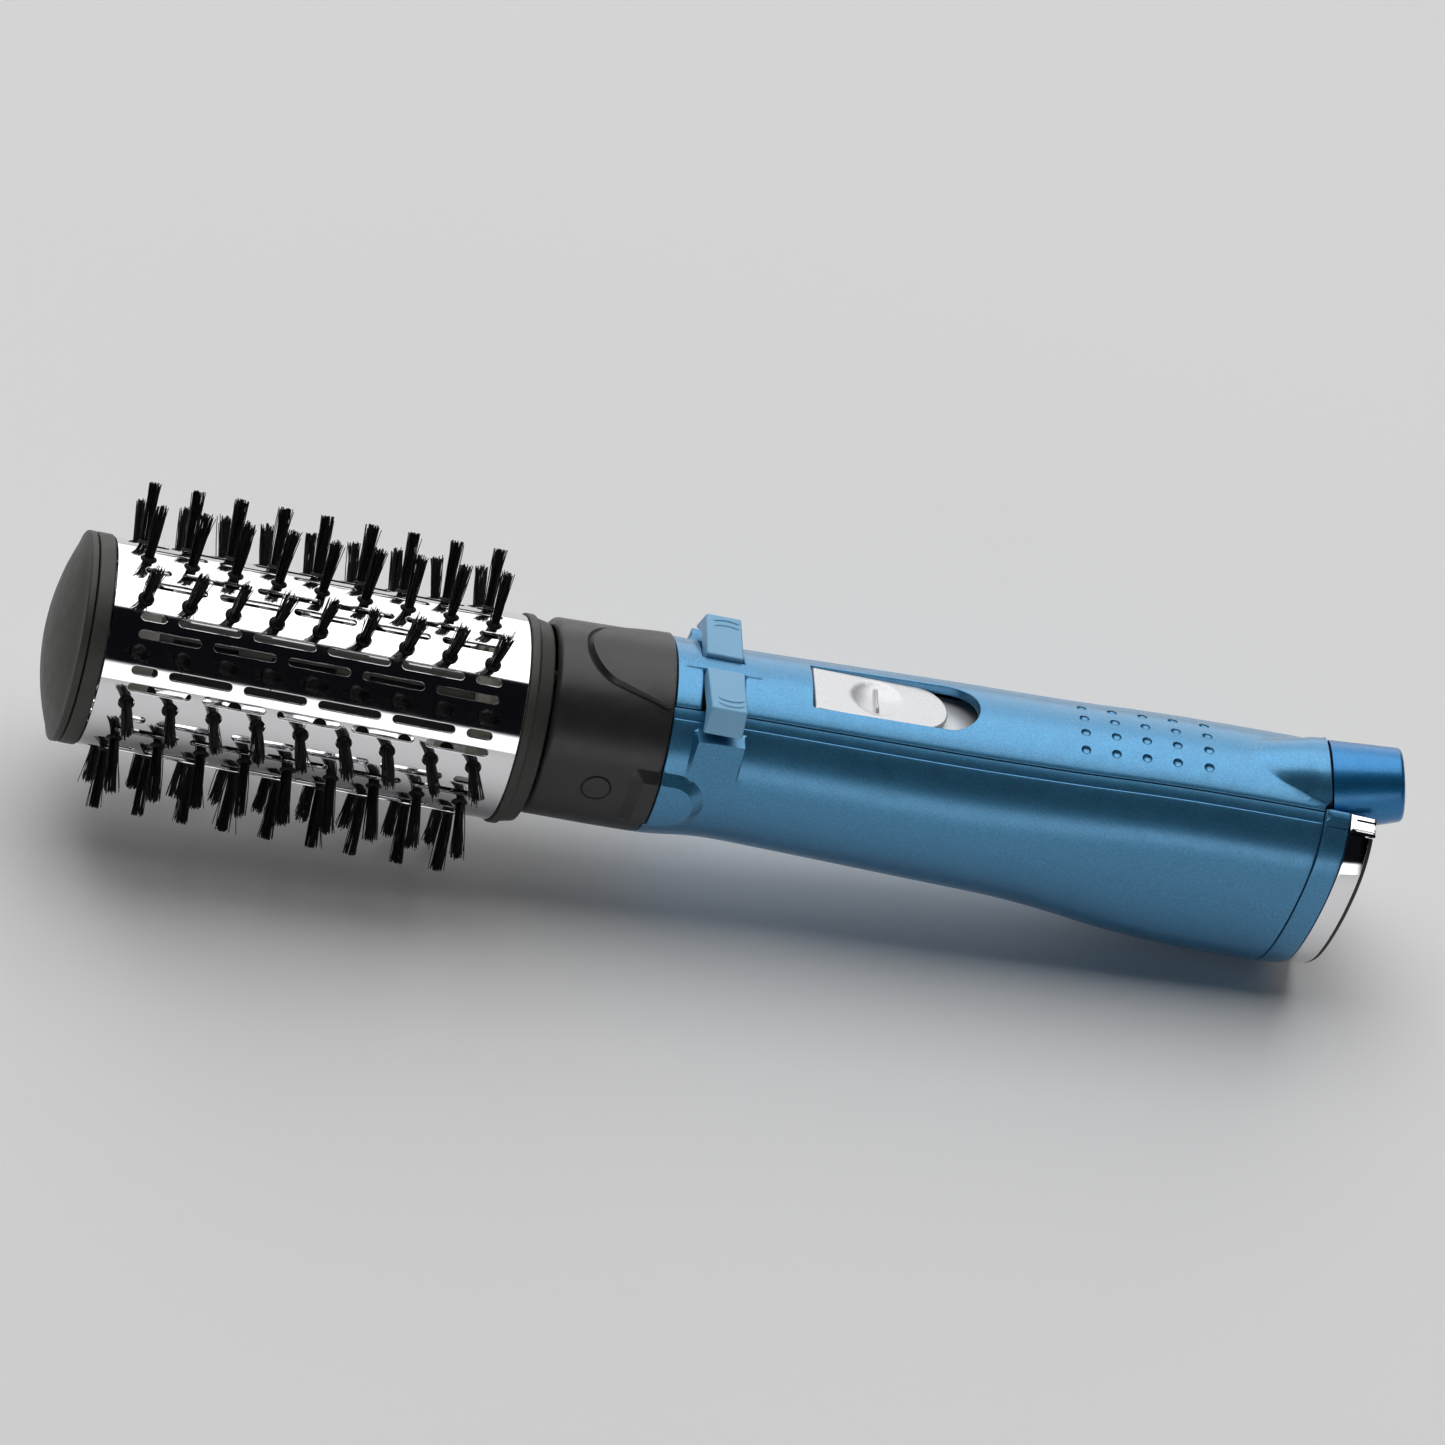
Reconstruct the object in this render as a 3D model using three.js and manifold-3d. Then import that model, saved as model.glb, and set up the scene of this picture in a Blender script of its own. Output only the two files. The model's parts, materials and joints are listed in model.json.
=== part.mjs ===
// Rotating hot air brush with a two inch barrel, lying on its tufts and on its tail.
// It is built about the barrel axis and then tipped onto its resting points.
// In the build frame +X runs along the axis to the cord end, +Z is the switch side
// and -Y is the left hand side. Angles round the axis start at +Z and grow towards -Y.
import * as THREE from "three";
import { mergeGeometries, mergeVertices } from "three/addons/utils/BufferGeometryUtils.js";
import Module from "manifold-3d";

const wasm = await Module();
wasm.setup();

// ---------- driving dimensions, millimetres and degrees ----------
const GAP = 0.3;
const RESTING_PITCH = 4.35;

const BARREL_START = -157.5;
const BARREL_END = -56.7;
const BARREL_RADIUS = 25;
const BARREL_WALL = 0.8;
const BARREL_FACETS = 36;
const FIRST_ROW_ANGLE = 53;
const ROWS = 12;
const ROW_STEP = 360 / ROWS;
const SLOT_STEP = 10;
const SLOT_WIDTH = 2;
const SLOT_LENGTH = 15.2;
const SHORT_SLOT_LENGTH = 6.2;
const SLOT_PITCH = 18.1;
const SLOTS_PER_ROW = 5;
const SLOT_MARGIN = 6.7;
const LAST_SLOT_MARGIN = 6.4;
const CUTTER_DEPTH = [BARREL_RADIUS - 3, BARREL_RADIUS + 2];
const TUFTS_PER_ROW = 9;
const TUFT_PITCH = 10.56;
const FIRST_TUFT = 7.3;
const TUFT_HOLE = 4;
const TUFT_BASE = 3.2;
const TUFT_TIP = 4.5;
const TIP_RADIUS = 40;
const SPINE_HALF_WIDTH = 2;
const SPINE_INNER = 20.2;
const SPINE_OUTER = 22.2;

const CAP_APEX = -169.6;
const CAP_FRONT = -164.2;
const CAP_RING_FRONT = -161.9;
const CAP_RADIUS = 25.6;
const CAP_RING_INNER = 23.3;
const REAR_RING_FLANGE = 2;
const REAR_RING_END = -50.3;
const REAR_RING_INNER = 24.2;
const REAR_RING_NECK = 22;

const GEAR_MODULE = 1.25;
const RING_TEETH = 32;
const PINION_TEETH = 8;
const RING_PITCH_RADIUS = GEAR_MODULE * RING_TEETH / 2;
const PINION_PITCH_RADIUS = GEAR_MODULE * PINION_TEETH / 2;
const PINION_HEIGHT = RING_PITCH_RADIUS - PINION_PITCH_RADIUS;
const ADDENDUM = 0.7 * GEAR_MODULE;
const DEDENDUM = 1.05 * GEAR_MODULE;
const GEAR_START = -61;
const GEAR_END = -54;

const CORE_RADIUS = 8.5;
const CORE_WALL = 1.2;
const CORE_START = -150;
const CORE_END = -30;
const HUB_RADIUS = 12.4;
const HUB_WEB = 2;
const HUB_LENGTH = 5;
const DRIVE_BODY_RADIUS = 5.2;
const GEARBOX_START = -46.3;
const GEARBOX_END = -36;
const PINION_SHAFT_RADIUS = 1.6;

const COLLAR_START = -49.8;
const COLLAR_END = -21.2;
const SHELL_START = -20.9;
const SHELL_END = 139.1;
const BAND_END = 145.7;
const RIM_END = 152.6;
const SHELL_WALL = 2.2;
const COVER_ANGLE = 32.6;
const STRIP_START = 33.4;
const STRIP_END = 39.6;
const SHELL_ANGLE = 40.4;
const CLASP_START = 31.4;
const CLASP_END = 43.2;
const RIM_ANGLE = 44;
const STRIP_INSET = 0.3;
const BAND_INSET = 0.2;
const PAD_START = -28;
const PAD_END = -8.5;
const PAD_HEIGHT = 4.2;
const PAD_HALF_WIDTH = 8;
const PAD_REACH = 25.6;
const TAIL_SLANT = 0.07;
const TAIL_SLANT_HEIGHT = 4;

const WINDOW_START = 12.7;
const WINDOW_END = 54.1;
const WINDOW_HALF_WIDTH = 8;
const SLIDER_START = 13.3;
const SLIDER_LENGTH = 33.6;
const SLIDER_TOP = 26.8;
const BUTTON_START = -14.4;
const BUTTON_END = -4.2;
const BUTTON_TOP = 29;
const BUTTON_INNER = 2.6;
const BUTTON_CREST = 17.6;

const DUCT_RADIUS = 15;
const DUCT_START = 14;
const DUCT_END = 90;
const SLEEVE_RADIUS = 13.6;
const COIL_RADIUS = 12.05;
const COIL_START = 23;
const COIL_LENGTH = 48;
const COIL_TURNS = 4;
const FAN_RADIUS = 17.5;
const FAN_BLADES = 7;
const FAN_X = 125;
const FAN_HOUSING_RADIUS = 20;
const FAN_HOUSING_END = 131;
const FAN_MOTOR_RADIUS = 11.5;
const MOTOR_MOUNT_START = 106;
const MOTOR_MOUNT_END = 112;

const CONE_TILT = 15;
const CONE_BASE_X = 144;
const CONE_BASE_HEIGHT = 26.5;
const CONE_BASE_RADIUS = 11.3;
const CONE_END_RADIUS = 8.95;
const CONE_LENGTH = 17.8;
const CORD_HOLE_RADIUS = 4.2;
const SPIGOT_RADIUS = 7;
const SPIGOT_LENGTH = 7;

// Handle outline: x, height of the upper arc's centre, of the lower arc's centre, arc radius.
const HANDLE_STATIONS = [
  [COLLAR_START, 2.7, 2.7, 23.9],
  [-20, 3.6, 3.4, 24],
  [-8, 4.3, 4.4, 23.4],
  [0, 4.6, 4.6, 23.25],
  [50, 5.2, 5.2, 24.6],
  [70, 6, 4.5, 24.5],
  [83, 6.7, 3, 24.4],
  [97, 7.6, 1, 24.4],
  [112, 8.3, -0.2, 24.4],
  [137, 8.8, -0.3, 24.4],
  [150, 8.7, 0.8, 24.2],
  [160, 8.5, 2.2, 23.8],
];

// ---------- materials ----------
function finish(colour, roughness, metalness) {
  return { colour, roughness, metalness };
}

const CHROME = finish(0xe8e8ea, 0.08, 1);
const CAP_GREY = finish(0x3c3b38, 0.6, 0);
const NYLON = finish(0x141414, 0.5, 0);
const BLACK_PLASTIC = finish(0x2e2e2e, 0.45, 0);
const PEARL_BLUE = finish(0x6fa3c8, 0.35, 0.4);
const BUTTON_BLUE = finish(0x7fb4d8, 0.5, 0.2);
const DEEP_BLUE = finish(0x3f86bd, 0.25, 0.3);
const SILVER = finish(0xe2e2e4, 0.35, 0.3);
const STEEL = finish(0x9a9c9e, 0.35, 1);
const MICA = finish(0xc8b890, 0.6, 0);
const BOARD_GREEN = finish(0x1f6b3a, 0.5, 0);
const ACETAL = finish(0xe8e4d8, 0.5, 0);
const NICHROME = finish(0x7a7470, 0.4, 1);

// ---------- shape helpers ----------
const radians = THREE.MathUtils.degToRad;

// Welds shared corners, drops collapsed triangles and turns the faces outwards.
function weld(geometry) {
  const bare = geometry.clone();
  bare.deleteAttribute("normal");
  bare.deleteAttribute("uv");
  bare.clearGroups();
  const welded = mergeVertices(bare, 1e-4);
  const corners = welded.index.array;
  const kept = [];
  for (let i = 0; i < corners.length; i += 3) {
    const [a, b, c] = corners.slice(i, i + 3);
    if (a !== b && b !== c && c !== a) {
      kept.push(a, b, c);
    }
  }
  if (signedVolume(welded.attributes.position, kept) < 0) {
    kept.reverse();
  }
  welded.setIndex(kept);
  return welded;
}

function signedVolume(position, corners) {
  const a = new THREE.Vector3();
  const b = new THREE.Vector3();
  const c = new THREE.Vector3();
  let volume = 0;
  for (let i = 0; i < corners.length; i += 3) {
    a.fromBufferAttribute(position, corners[i]);
    b.fromBufferAttribute(position, corners[i + 1]);
    c.fromBufferAttribute(position, corners[i + 2]);
    volume += a.dot(b.cross(c)) / 6;
  }
  return volume;
}

function toSolid(geometry) {
  const welded = weld(geometry);
  const vertProperties = new Float32Array(welded.attributes.position.array);
  const triVerts = new Uint32Array(welded.index.array);
  return new wasm.Manifold(new wasm.Mesh({ numProp: 3, vertProperties, triVerts }));
}

function toGeometry(solid) {
  const mesh = solid.getMesh();
  const geometry = new THREE.BufferGeometry();
  geometry.setAttribute("position", new THREE.BufferAttribute(mesh.vertProperties, 3));
  geometry.setIndex(new THREE.BufferAttribute(mesh.triVerts, 1));
  return geometry;
}

function join(...geometries) {
  return toGeometry(geometries.map(toSolid).reduce((sum, solid) => sum.add(solid)));
}

function cut(base, ...cutters) {
  return toGeometry(cutters.map(toSolid).reduce((rest, solid) => rest.subtract(solid), toSolid(base)));
}

// Turns a profile of [x, radius] points about the barrel axis.
function lathe(profile, segments = 24) {
  const points = profile.map(([x, radius]) => new THREE.Vector2(radius, x));
  return weld(new THREE.LatheGeometry(points, segments).rotateZ(-Math.PI / 2));
}

function rod(start, end, radius, segments = 24) {
  return lathe([[start, 0], [start, radius], [end, radius], [end, 0]], segments);
}

function tube(start, end, inner, outer, segments = 24) {
  return lathe([[start, inner], [start, outer], [end, outer], [end, inner], [start, inner]], segments);
}

function block(x0, x1, y0, y1, z0, z1) {
  const box = new THREE.BoxGeometry(x1 - x0, y1 - y0, z1 - z0);
  return box.translate((x0 + x1) / 2, (y0 + y1) / 2, (z0 + z1) / 2);
}

function outline(points) {
  return new THREE.Shape(points.map(([a, b]) => new THREE.Vector2(a, b)));
}

// Extrudes a (y, z) outline along x.
function alongX(shape, start, end) {
  const solid = new THREE.ExtrudeGeometry(shape, { depth: end - start, bevelEnabled: false });
  const yzx = new THREE.Matrix4().makeBasis(
    new THREE.Vector3(0, 1, 0),
    new THREE.Vector3(0, 0, 1),
    new THREE.Vector3(1, 0, 0),
  );
  return solid.applyMatrix4(yzx).translate(start, 0, 0);
}

// Extrudes an (x, z) outline along y.
function alongY(shape, start, end) {
  const solid = new THREE.ExtrudeGeometry(shape, { depth: end - start, bevelEnabled: false });
  return solid.rotateX(Math.PI / 2).translate(0, end, 0);
}

// Extrudes an (x, y) outline along z.
function alongZ(shape, start, end) {
  return new THREE.ExtrudeGeometry(shape, { depth: end - start, bevelEnabled: false }).translate(0, 0, start);
}

// Turns a piece about the barrel axis, from the top towards -Y.
function turned(geometry, angle) {
  return geometry.rotateX(radians(angle));
}

function mirrored(geometry) {
  return weld(geometry.clone().scale(1, -1, 1));
}

function sequence(count, make) {
  return Array.from({ length: count }, (_, index) => make(index));
}

// ---------- handle outline ----------
// Smooth curve through the handle stations.
function stationAt(x) {
  const last = HANDLE_STATIONS.length - 2;
  let i = 0;
  while (i < last && x > HANDLE_STATIONS[i + 1][0]) {
    i += 1;
  }
  const left = HANDLE_STATIONS[i];
  const right = HANDLE_STATIONS[i + 1];
  const before = HANDLE_STATIONS[Math.max(i - 1, 0)];
  const after = HANDLE_STATIONS[Math.min(i + 2, last + 1)];
  const span = right[0] - left[0];
  const t = THREE.MathUtils.clamp((x - left[0]) / span, 0, 1);
  return [1, 2, 3].map((k) => {
    const startSlope = (right[k] - before[k]) / (right[0] - before[0]) * span;
    const endSlope = (after[k] - left[k]) / (after[0] - left[0]) * span;
    const cubic = 2 * (left[k] - right[k]) + startSlope + endSlope;
    const square = 3 * (right[k] - left[k]) - 2 * startSlope - endSlope;
    return ((cubic * t + square) * t + startSlope) * t + left[k];
  });
}

// A point of the handle's outer surface, moved in by the inset.
function handlePoint(x, angle, inset) {
  const [upper, lower, radius] = stationAt(x);
  const towardsTop = THREE.MathUtils.smoothstep(120 - Math.abs(angle), 0, 60);
  const centre = lower + (upper - lower) * towardsTop;
  const y = -(radius - inset) * Math.sin(radians(angle));
  const z = centre + (radius - inset) * Math.cos(radians(angle));
  const slant = TAIL_SLANT * THREE.MathUtils.smoothstep(x, 100, 140);
  return new THREE.Vector3(x + slant * (z - TAIL_SLANT_HEIGHT), y, z);
}

function spread(start, end, steps) {
  return sequence(steps + 1, (index) => start + (end - start) * index / steps);
}

// Closed wall between two insets of the handle surface, over a grid of x and angle.
function wallPanel(xs, angles, outerInset, innerInset, wraps = false) {
  const positions = [];
  const layers = [outerInset, innerInset];
  for (const inset of layers) {
    for (const x of xs) {
      for (const angle of angles) {
        positions.push(...handlePoint(x, angle, inset).toArray());
      }
    }
  }
  const rows = xs.length;
  const columns = angles.length;
  const at = (layer, row, column) => (layer * rows + row) * columns + column % columns;
  const faces = [];
  const quad = (a, b, c, d) => faces.push(a, b, c, a, c, d);
  const lastColumn = wraps ? columns : columns - 1;
  for (let row = 0; row < rows - 1; row += 1) {
    for (let column = 0; column < lastColumn; column += 1) {
      const next = column + 1;
      quad(at(0, row, column), at(0, row + 1, column), at(0, row + 1, next), at(0, row, next));
      quad(at(1, row, column), at(1, row, next), at(1, row + 1, next), at(1, row + 1, column));
    }
    if (!wraps) {
      quad(at(0, row, 0), at(1, row, 0), at(1, row + 1, 0), at(0, row + 1, 0));
      const edge = columns - 1;
      quad(at(0, row, edge), at(0, row + 1, edge), at(1, row + 1, edge), at(1, row, edge));
    }
  }
  for (let column = 0; column < lastColumn; column += 1) {
    const next = column + 1;
    const end = rows - 1;
    quad(at(0, 0, column), at(0, 0, next), at(1, 0, next), at(1, 0, column));
    quad(at(0, end, column), at(1, end, column), at(1, end, next), at(0, end, next));
  }
  const geometry = new THREE.BufferGeometry();
  geometry.setAttribute("position", new THREE.Float32BufferAttribute(positions, 3));
  geometry.setIndex(faces);
  return weld(geometry);
}

const HANDLE_XS = [SHELL_START, -8, 0, 25, 50, 66, 82, 98, 114, SHELL_END];

// Moves a piece built along the x axis onto the tilted axis of the cord swivel.
function onConeAxis(geometry) {
  return geometry.rotateY(-radians(CONE_TILT)).translate(CONE_BASE_X, 0, CONE_BASE_HEIGHT);
}

// ---------- rotating brush ----------
const ROW_ANGLES = sequence(ROWS, (index) => FIRST_ROW_ANGLE + index * ROW_STEP);

// Between two tuft rows: a row with a short slot at each end, then a row of long slots.
function slotCutters() {
  const half = SLOT_WIDTH / 2;
  const slot = (start, length, angle) => turned(
    block(start, start + length, -half, half, ...CUTTER_DEPTH), angle,
  );
  const first = BARREL_START + SLOT_MARGIN;
  const lastShort = BARREL_END - LAST_SLOT_MARGIN - SHORT_SLOT_LENGTH;
  return ROW_ANGLES.flatMap((rowAngle) => {
    const brokenRow = rowAngle + SLOT_STEP;
    const fullRow = brokenRow + SLOT_STEP;
    return [
      ...sequence(SLOTS_PER_ROW, (index) => slot(first + index * SLOT_PITCH, SLOT_LENGTH, fullRow)),
      ...sequence(SLOTS_PER_ROW - 1, (index) => (
        slot(first + (index + 0.5) * SLOT_PITCH, SLOT_LENGTH, brokenRow)
      )),
      slot(first, SHORT_SLOT_LENGTH, brokenRow),
      slot(lastShort, SHORT_SLOT_LENGTH, brokenRow),
    ];
  });
}

function tuftX(index) {
  return BARREL_START + FIRST_TUFT + index * TUFT_PITCH;
}

function tuftHoleCutters() {
  const half = TUFT_HOLE / 2;
  const hole = (index, angle) => turned(
    block(tuftX(index) - half, tuftX(index) + half, -half, half, ...CUTTER_DEPTH), angle,
  );
  return ROW_ANGLES.flatMap((angle) => sequence(TUFTS_PER_ROW, (index) => hole(index, angle)));
}

function barrel() {
  const wall = tube(BARREL_START, BARREL_END, BARREL_RADIUS - BARREL_WALL, BARREL_RADIUS, BARREL_FACETS);
  const facetTurn = FIRST_ROW_ANGLE + 180 / BARREL_FACETS;
  return cut(turned(wall, facetTurn), mergeGeometries([...slotCutters(), ...tuftHoleCutters()]));
}

// One tuft: a square stem that widens towards its tip.
function tuft(index) {
  const base = TUFT_BASE / 2;
  const tip = TUFT_TIP / 2;
  const root = SPINE_OUTER - 0.2;
  const stem = outline([[-base, root], [base, root], [tip, TIP_RADIUS], [-tip, TIP_RADIUS]]);
  return alongY(stem, -base, base).translate(tuftX(index), 0, 0);
}

function bristleRow(angle) {
  const start = BARREL_START + 3.5;
  const end = GEAR_START - HUB_WEB - GAP;
  const spine = block(start, end, -SPINE_HALF_WIDTH, SPINE_HALF_WIDTH, SPINE_INNER, SPINE_OUTER);
  return turned(join(spine, ...sequence(TUFTS_PER_ROW, tuft)), angle);
}

function endCap() {
  const dome = [[CAP_APEX, 0], [-169.1, 7], [-167.7, 14], [-165.5, 20.5], [CAP_FRONT, 24.2],
    [-163.6, CAP_RADIUS], [CAP_RING_FRONT - GAP, CAP_RADIUS], [CAP_RING_FRONT - GAP, 23]];
  const boss = [[-161.4, 23], [-161.4, 6], [-155, 6], [-155, 3.3], [-163, 3.3], [-163, 0]];
  return lathe([...dome, ...boss], 30);
}

function capRing() {
  const back = BARREL_START - GAP;
  const bevel = 0.5;
  return lathe([[CAP_RING_FRONT, CAP_RING_INNER], [CAP_RING_FRONT, CAP_RADIUS - bevel],
    [CAP_RING_FRONT + bevel, CAP_RADIUS], [back, CAP_RADIUS], [back, CAP_RING_INNER],
    [CAP_RING_FRONT, CAP_RING_INNER]], BARREL_FACETS);
}

function rearRing() {
  const front = BARREL_END + GAP;
  const flange = front + REAR_RING_FLANGE;
  const step = GEAR_END + GAP;
  return lathe([[front, REAR_RING_INNER], [front, CAP_RADIUS], [flange, CAP_RADIUS],
    [flange + 0.4, BARREL_RADIUS], [REAR_RING_END, BARREL_RADIUS - 1], [REAR_RING_END, REAR_RING_NECK],
    [step, REAR_RING_NECK], [step, REAR_RING_INNER], [front, REAR_RING_INNER]], BARREL_FACETS);
}

// Tooth outline as straight flanks between the root and tip radii.
function toothedLoop(teeth, tipRadius, rootRadius, tipShare, rootShare) {
  const step = Math.PI * 2 / teeth;
  return sequence(teeth, (index) => {
    const middle = index * step;
    return [[rootRadius, -rootShare], [tipRadius, -tipShare], [tipRadius, tipShare], [rootRadius, rootShare]]
      .map(([radius, share]) => {
        const angle = middle + share * step / 2;
        return [radius * Math.sin(angle), radius * Math.cos(angle)];
      });
  }).flat();
}

// Internal ring gear with a spoked web that runs on the air core.
function driveHub() {
  const tipRadius = RING_PITCH_RADIUS - ADDENDUM;
  const rootRadius = RING_PITCH_RADIUS + DEDENDUM;
  const back = GEAR_START + 0.1;
  const rim = new THREE.Shape().absarc(0, 0, BARREL_RADIUS - BARREL_WALL - 0.4, 0, Math.PI * 2);
  rim.holes.push(outline(toothedLoop(RING_TEETH, tipRadius, rootRadius, 0.24, 0.52)));
  const gear = alongX(rim, GEAR_START, GEAR_END);
  const web = tube(GEAR_START - HUB_WEB, back, HUB_RADIUS - 0.4, 22.5);
  const bearing = tube(GEAR_START - HUB_LENGTH, back, CORE_RADIUS + GAP, HUB_RADIUS);
  const windows = 6;
  const window = (index) => turned(
    block(GEAR_START - HUB_WEB - 1, GEAR_START, -3.5, 3.5, 13.5, 17.5), index * 360 / windows,
  );
  return cut(join(gear, web, bearing), ...sequence(windows, window));
}

function frontBush() {
  return tube(CORE_START + 1, CORE_START + 6, CORE_RADIUS + GAP, HUB_RADIUS);
}

function pinion() {
  const tipRadius = PINION_PITCH_RADIUS + ADDENDUM;
  const rootRadius = PINION_PITCH_RADIUS - DEDENDUM;
  const teeth = outline(toothedLoop(PINION_TEETH, tipRadius, rootRadius, 0.3, 0.62));
  const wheel = turned(alongX(teeth, GEAR_START + 0.8, GEAR_END - 0.5), 180 / PINION_TEETH);
  const shaft = rod(GEAR_END - 1, GEARBOX_START - GAP, PINION_SHAFT_RADIUS, 12);
  return join(wheel, shaft).translate(0, 0, PINION_HEIGHT);
}

// ---------- air path in the barrel ----------
function airCore() {
  const wall = tube(CORE_START, CORE_END, CORE_RADIUS - CORE_WALL, CORE_RADIUS);
  const windowPitch = 24;
  const windowLength = 16;
  const window = (side, index) => {
    const start = CORE_START + 10 + index * windowPitch;
    const slot = block(start, start + windowLength, -3, 3, CORE_RADIUS - 3, CORE_RADIUS + 1);
    return turned(slot, 45 + side * 90);
  };
  const windows = sequence(4, (side) => sequence(3, (index) => window(side, index))).flat();
  return cut(wall, mergeGeometries(windows));
}

// Plug in the core's front end, with the pin that the end cap turns on.
function corePin() {
  const tip = -162.4;
  const pinRadius = 3;
  const plug = CORE_START - 3.5;
  const back = CORE_START - GAP;
  return lathe([[tip, 0], [tip, pinRadius], [plug, pinRadius], [plug, CORE_RADIUS], [back, CORE_RADIUS],
    [back, 0]]);
}

// ---------- handle shells ----------
const ALL_ROUND = sequence(30, (index) => -180 + index * 12);

// Straight-sided pad with one round end, raised from the side of the handle.
function sidePad(start, end, rounded) {
  const middle = PAD_HEIGHT;
  const half = PAD_HALF_WIDTH;
  const pad = new THREE.Shape();
  pad.moveTo(start, middle - half);
  if (rounded) {
    pad.lineTo(end - half, middle - half);
    pad.absarc(end - half, middle, half, -Math.PI / 2, Math.PI / 2, false);
  } else {
    pad.lineTo(end, middle - half);
    pad.lineTo(end, middle + half);
  }
  pad.lineTo(start, middle + half);
  return alongY(pad, -PAD_REACH, -PAD_REACH + 4);
}

function collar() {
  const wall = wallPanel(spread(COLLAR_START, COLLAR_END, 2), ALL_ROUND, 0, SHELL_WALL, true);
  const [, centre, , radius] = HANDLE_STATIONS[0];
  const plateStart = COLLAR_START - 1;
  const plateEnd = COLLAR_START + 3;
  const frontPlate = cut(
    rod(COLLAR_START, COLLAR_START + 1.6, radius - 1.5, 30).translate(0, 0, centre),
    rod(plateStart, plateEnd, CORE_RADIUS + GAP, 32),
    rod(plateStart, plateEnd, PINION_SHAFT_RADIUS + 0.5, 16).translate(0, 0, PINION_HEIGHT),
  );
  const pad = sidePad(PAD_START, COLLAR_END, false);
  return join(wall, frontPlate, pad, mirrored(pad));
}

// Raised shoulder that carries the outer end of a rotation button.
function shoulder() {
  const shape = outline([[-14.6, 21], [-17.2, 21.5], [-19.6, 20.9], [-22.2, 15.9], [-23.6, 9.5], [-22, 4],
    [-20, 4]]);
  return alongX(shape, BUTTON_START - 0.6, BUTTON_END + 0.6);
}

// Angles from one side to the other by way of the underside.
function underside(start) {
  return [...spread(start, 180, 10), ...spread(-180, -start, 10).slice(1)];
}

function mainShell() {
  const wall = wallPanel(HANDLE_XS, underside(SHELL_ANGLE), 0, SHELL_WALL);
  const pad = sidePad(SHELL_START, PAD_END, true);
  const insideBore = rod(SHELL_START - 1, 5, 20.9, 30).translate(0, 0, PAD_HEIGHT);
  return cut(join(wall, shoulder(), mirrored(shoulder()), pad, mirrored(pad)), insideBore);
}

// Outline with a square front and a round rear end, seen from above.
function roundEnded(start, end, half) {
  const shape = new THREE.Shape();
  shape.moveTo(start, -half);
  shape.lineTo(end - half, -half);
  shape.absarc(end - half, 0, half, -Math.PI / 2, Math.PI / 2, false);
  shape.lineTo(start, half);
  return shape;
}

// Fairing that rises from the cover into the cord swivel.
function swivelFairing() {
  const hump = onConeAxis(rod(-24, -GAP, CONE_BASE_RADIUS + 0.5));
  const [, centre, , radius] = HANDLE_STATIONS[HANDLE_STATIONS.length - 1];
  const inside = rod(CONE_BASE_X - 34, RIM_END, radius - SHELL_WALL, 36).translate(0, 0, centre);
  return cut(hump, inside);
}

function topCover() {
  const wall = wallPanel(HANDLE_XS, spread(-COVER_ANGLE, COVER_ANGLE, 6), 0, SHELL_WALL);
  const buttonPocket = block(BUTTON_START - GAP, BUTTON_END + GAP, BUTTON_INNER - GAP, 16, 15, 35);
  const window = alongZ(roundEnded(WINDOW_START, WINDOW_END, WINDOW_HALF_WIDTH), 15, 40);
  const socketBore = onConeAxis(rod(-9.6, 20, CONE_BASE_RADIUS - GAP));
  const coneClearance = onConeAxis(rod(-GAP, 20, CONE_BASE_RADIUS + 2 * GAP));
  return cut(join(wall, swivelFairing()), window, buttonPocket, mirrored(buttonPocket), socketBore,
    coneClearance);
}

function trimStrip() {
  return wallPanel(HANDLE_XS, spread(STRIP_START, STRIP_END, 2), STRIP_INSET, SHELL_WALL);
}

// Blue band behind the shells, open only where the cord swivel passes through it.
function rearBand() {
  const band = wallPanel([SHELL_END + GAP, BAND_END], ALL_ROUND, BAND_INSET, SHELL_WALL, true);
  return cut(band, swivelRelief());
}

function chromeRim() {
  return wallPanel([BAND_END + GAP, RIM_END], underside(RIM_ANGLE), BAND_INSET, SHELL_WALL);
}

function rimClasp() {
  return wallPanel([BAND_END + GAP, RIM_END], spread(CLASP_START, CLASP_END, 3), 0, SHELL_WALL);
}

// Loop of the handle section at the tail, moved in by the inset.
function tailPlate(inset, start, end) {
  const loop = ALL_ROUND.map((angle) => {
    const point = handlePoint(start, angle, inset);
    return [point.y, point.z];
  });
  const shear = new THREE.Matrix4().set(1, 0, TAIL_SLANT, -TAIL_SLANT * TAIL_SLANT_HEIGHT,
    0, 1, 0, 0, 0, 0, 1, 0, 0, 0, 0, 1);
  return alongX(outline(loop.reverse()), start, end).applyMatrix4(shear);
}

function swivelRelief() {
  return onConeAxis(rod(-20, 40, CONE_BASE_RADIUS + 2 * GAP));
}

function intakeGrille() {
  const plate = tailPlate(SHELL_WALL + 2 * GAP, RIM_END - 3.4, RIM_END - 1.4);
  const openingPitch = 4;
  const openings = sequence(8, (index) => {
    const height = -17 + index * openingPitch;
    const half = 15 - Math.abs(height + 3) * 0.25;
    return block(BAND_END - 5, RIM_END + 15, -half, half, height, height + openingPitch / 2);
  });
  return cut(plate, swivelRelief(), mergeGeometries(openings));
}

function filterMesh() {
  return cut(tailPlate(SHELL_WALL + 4 * GAP, RIM_END - 5, RIM_END - 4.2), swivelRelief());
}

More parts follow.
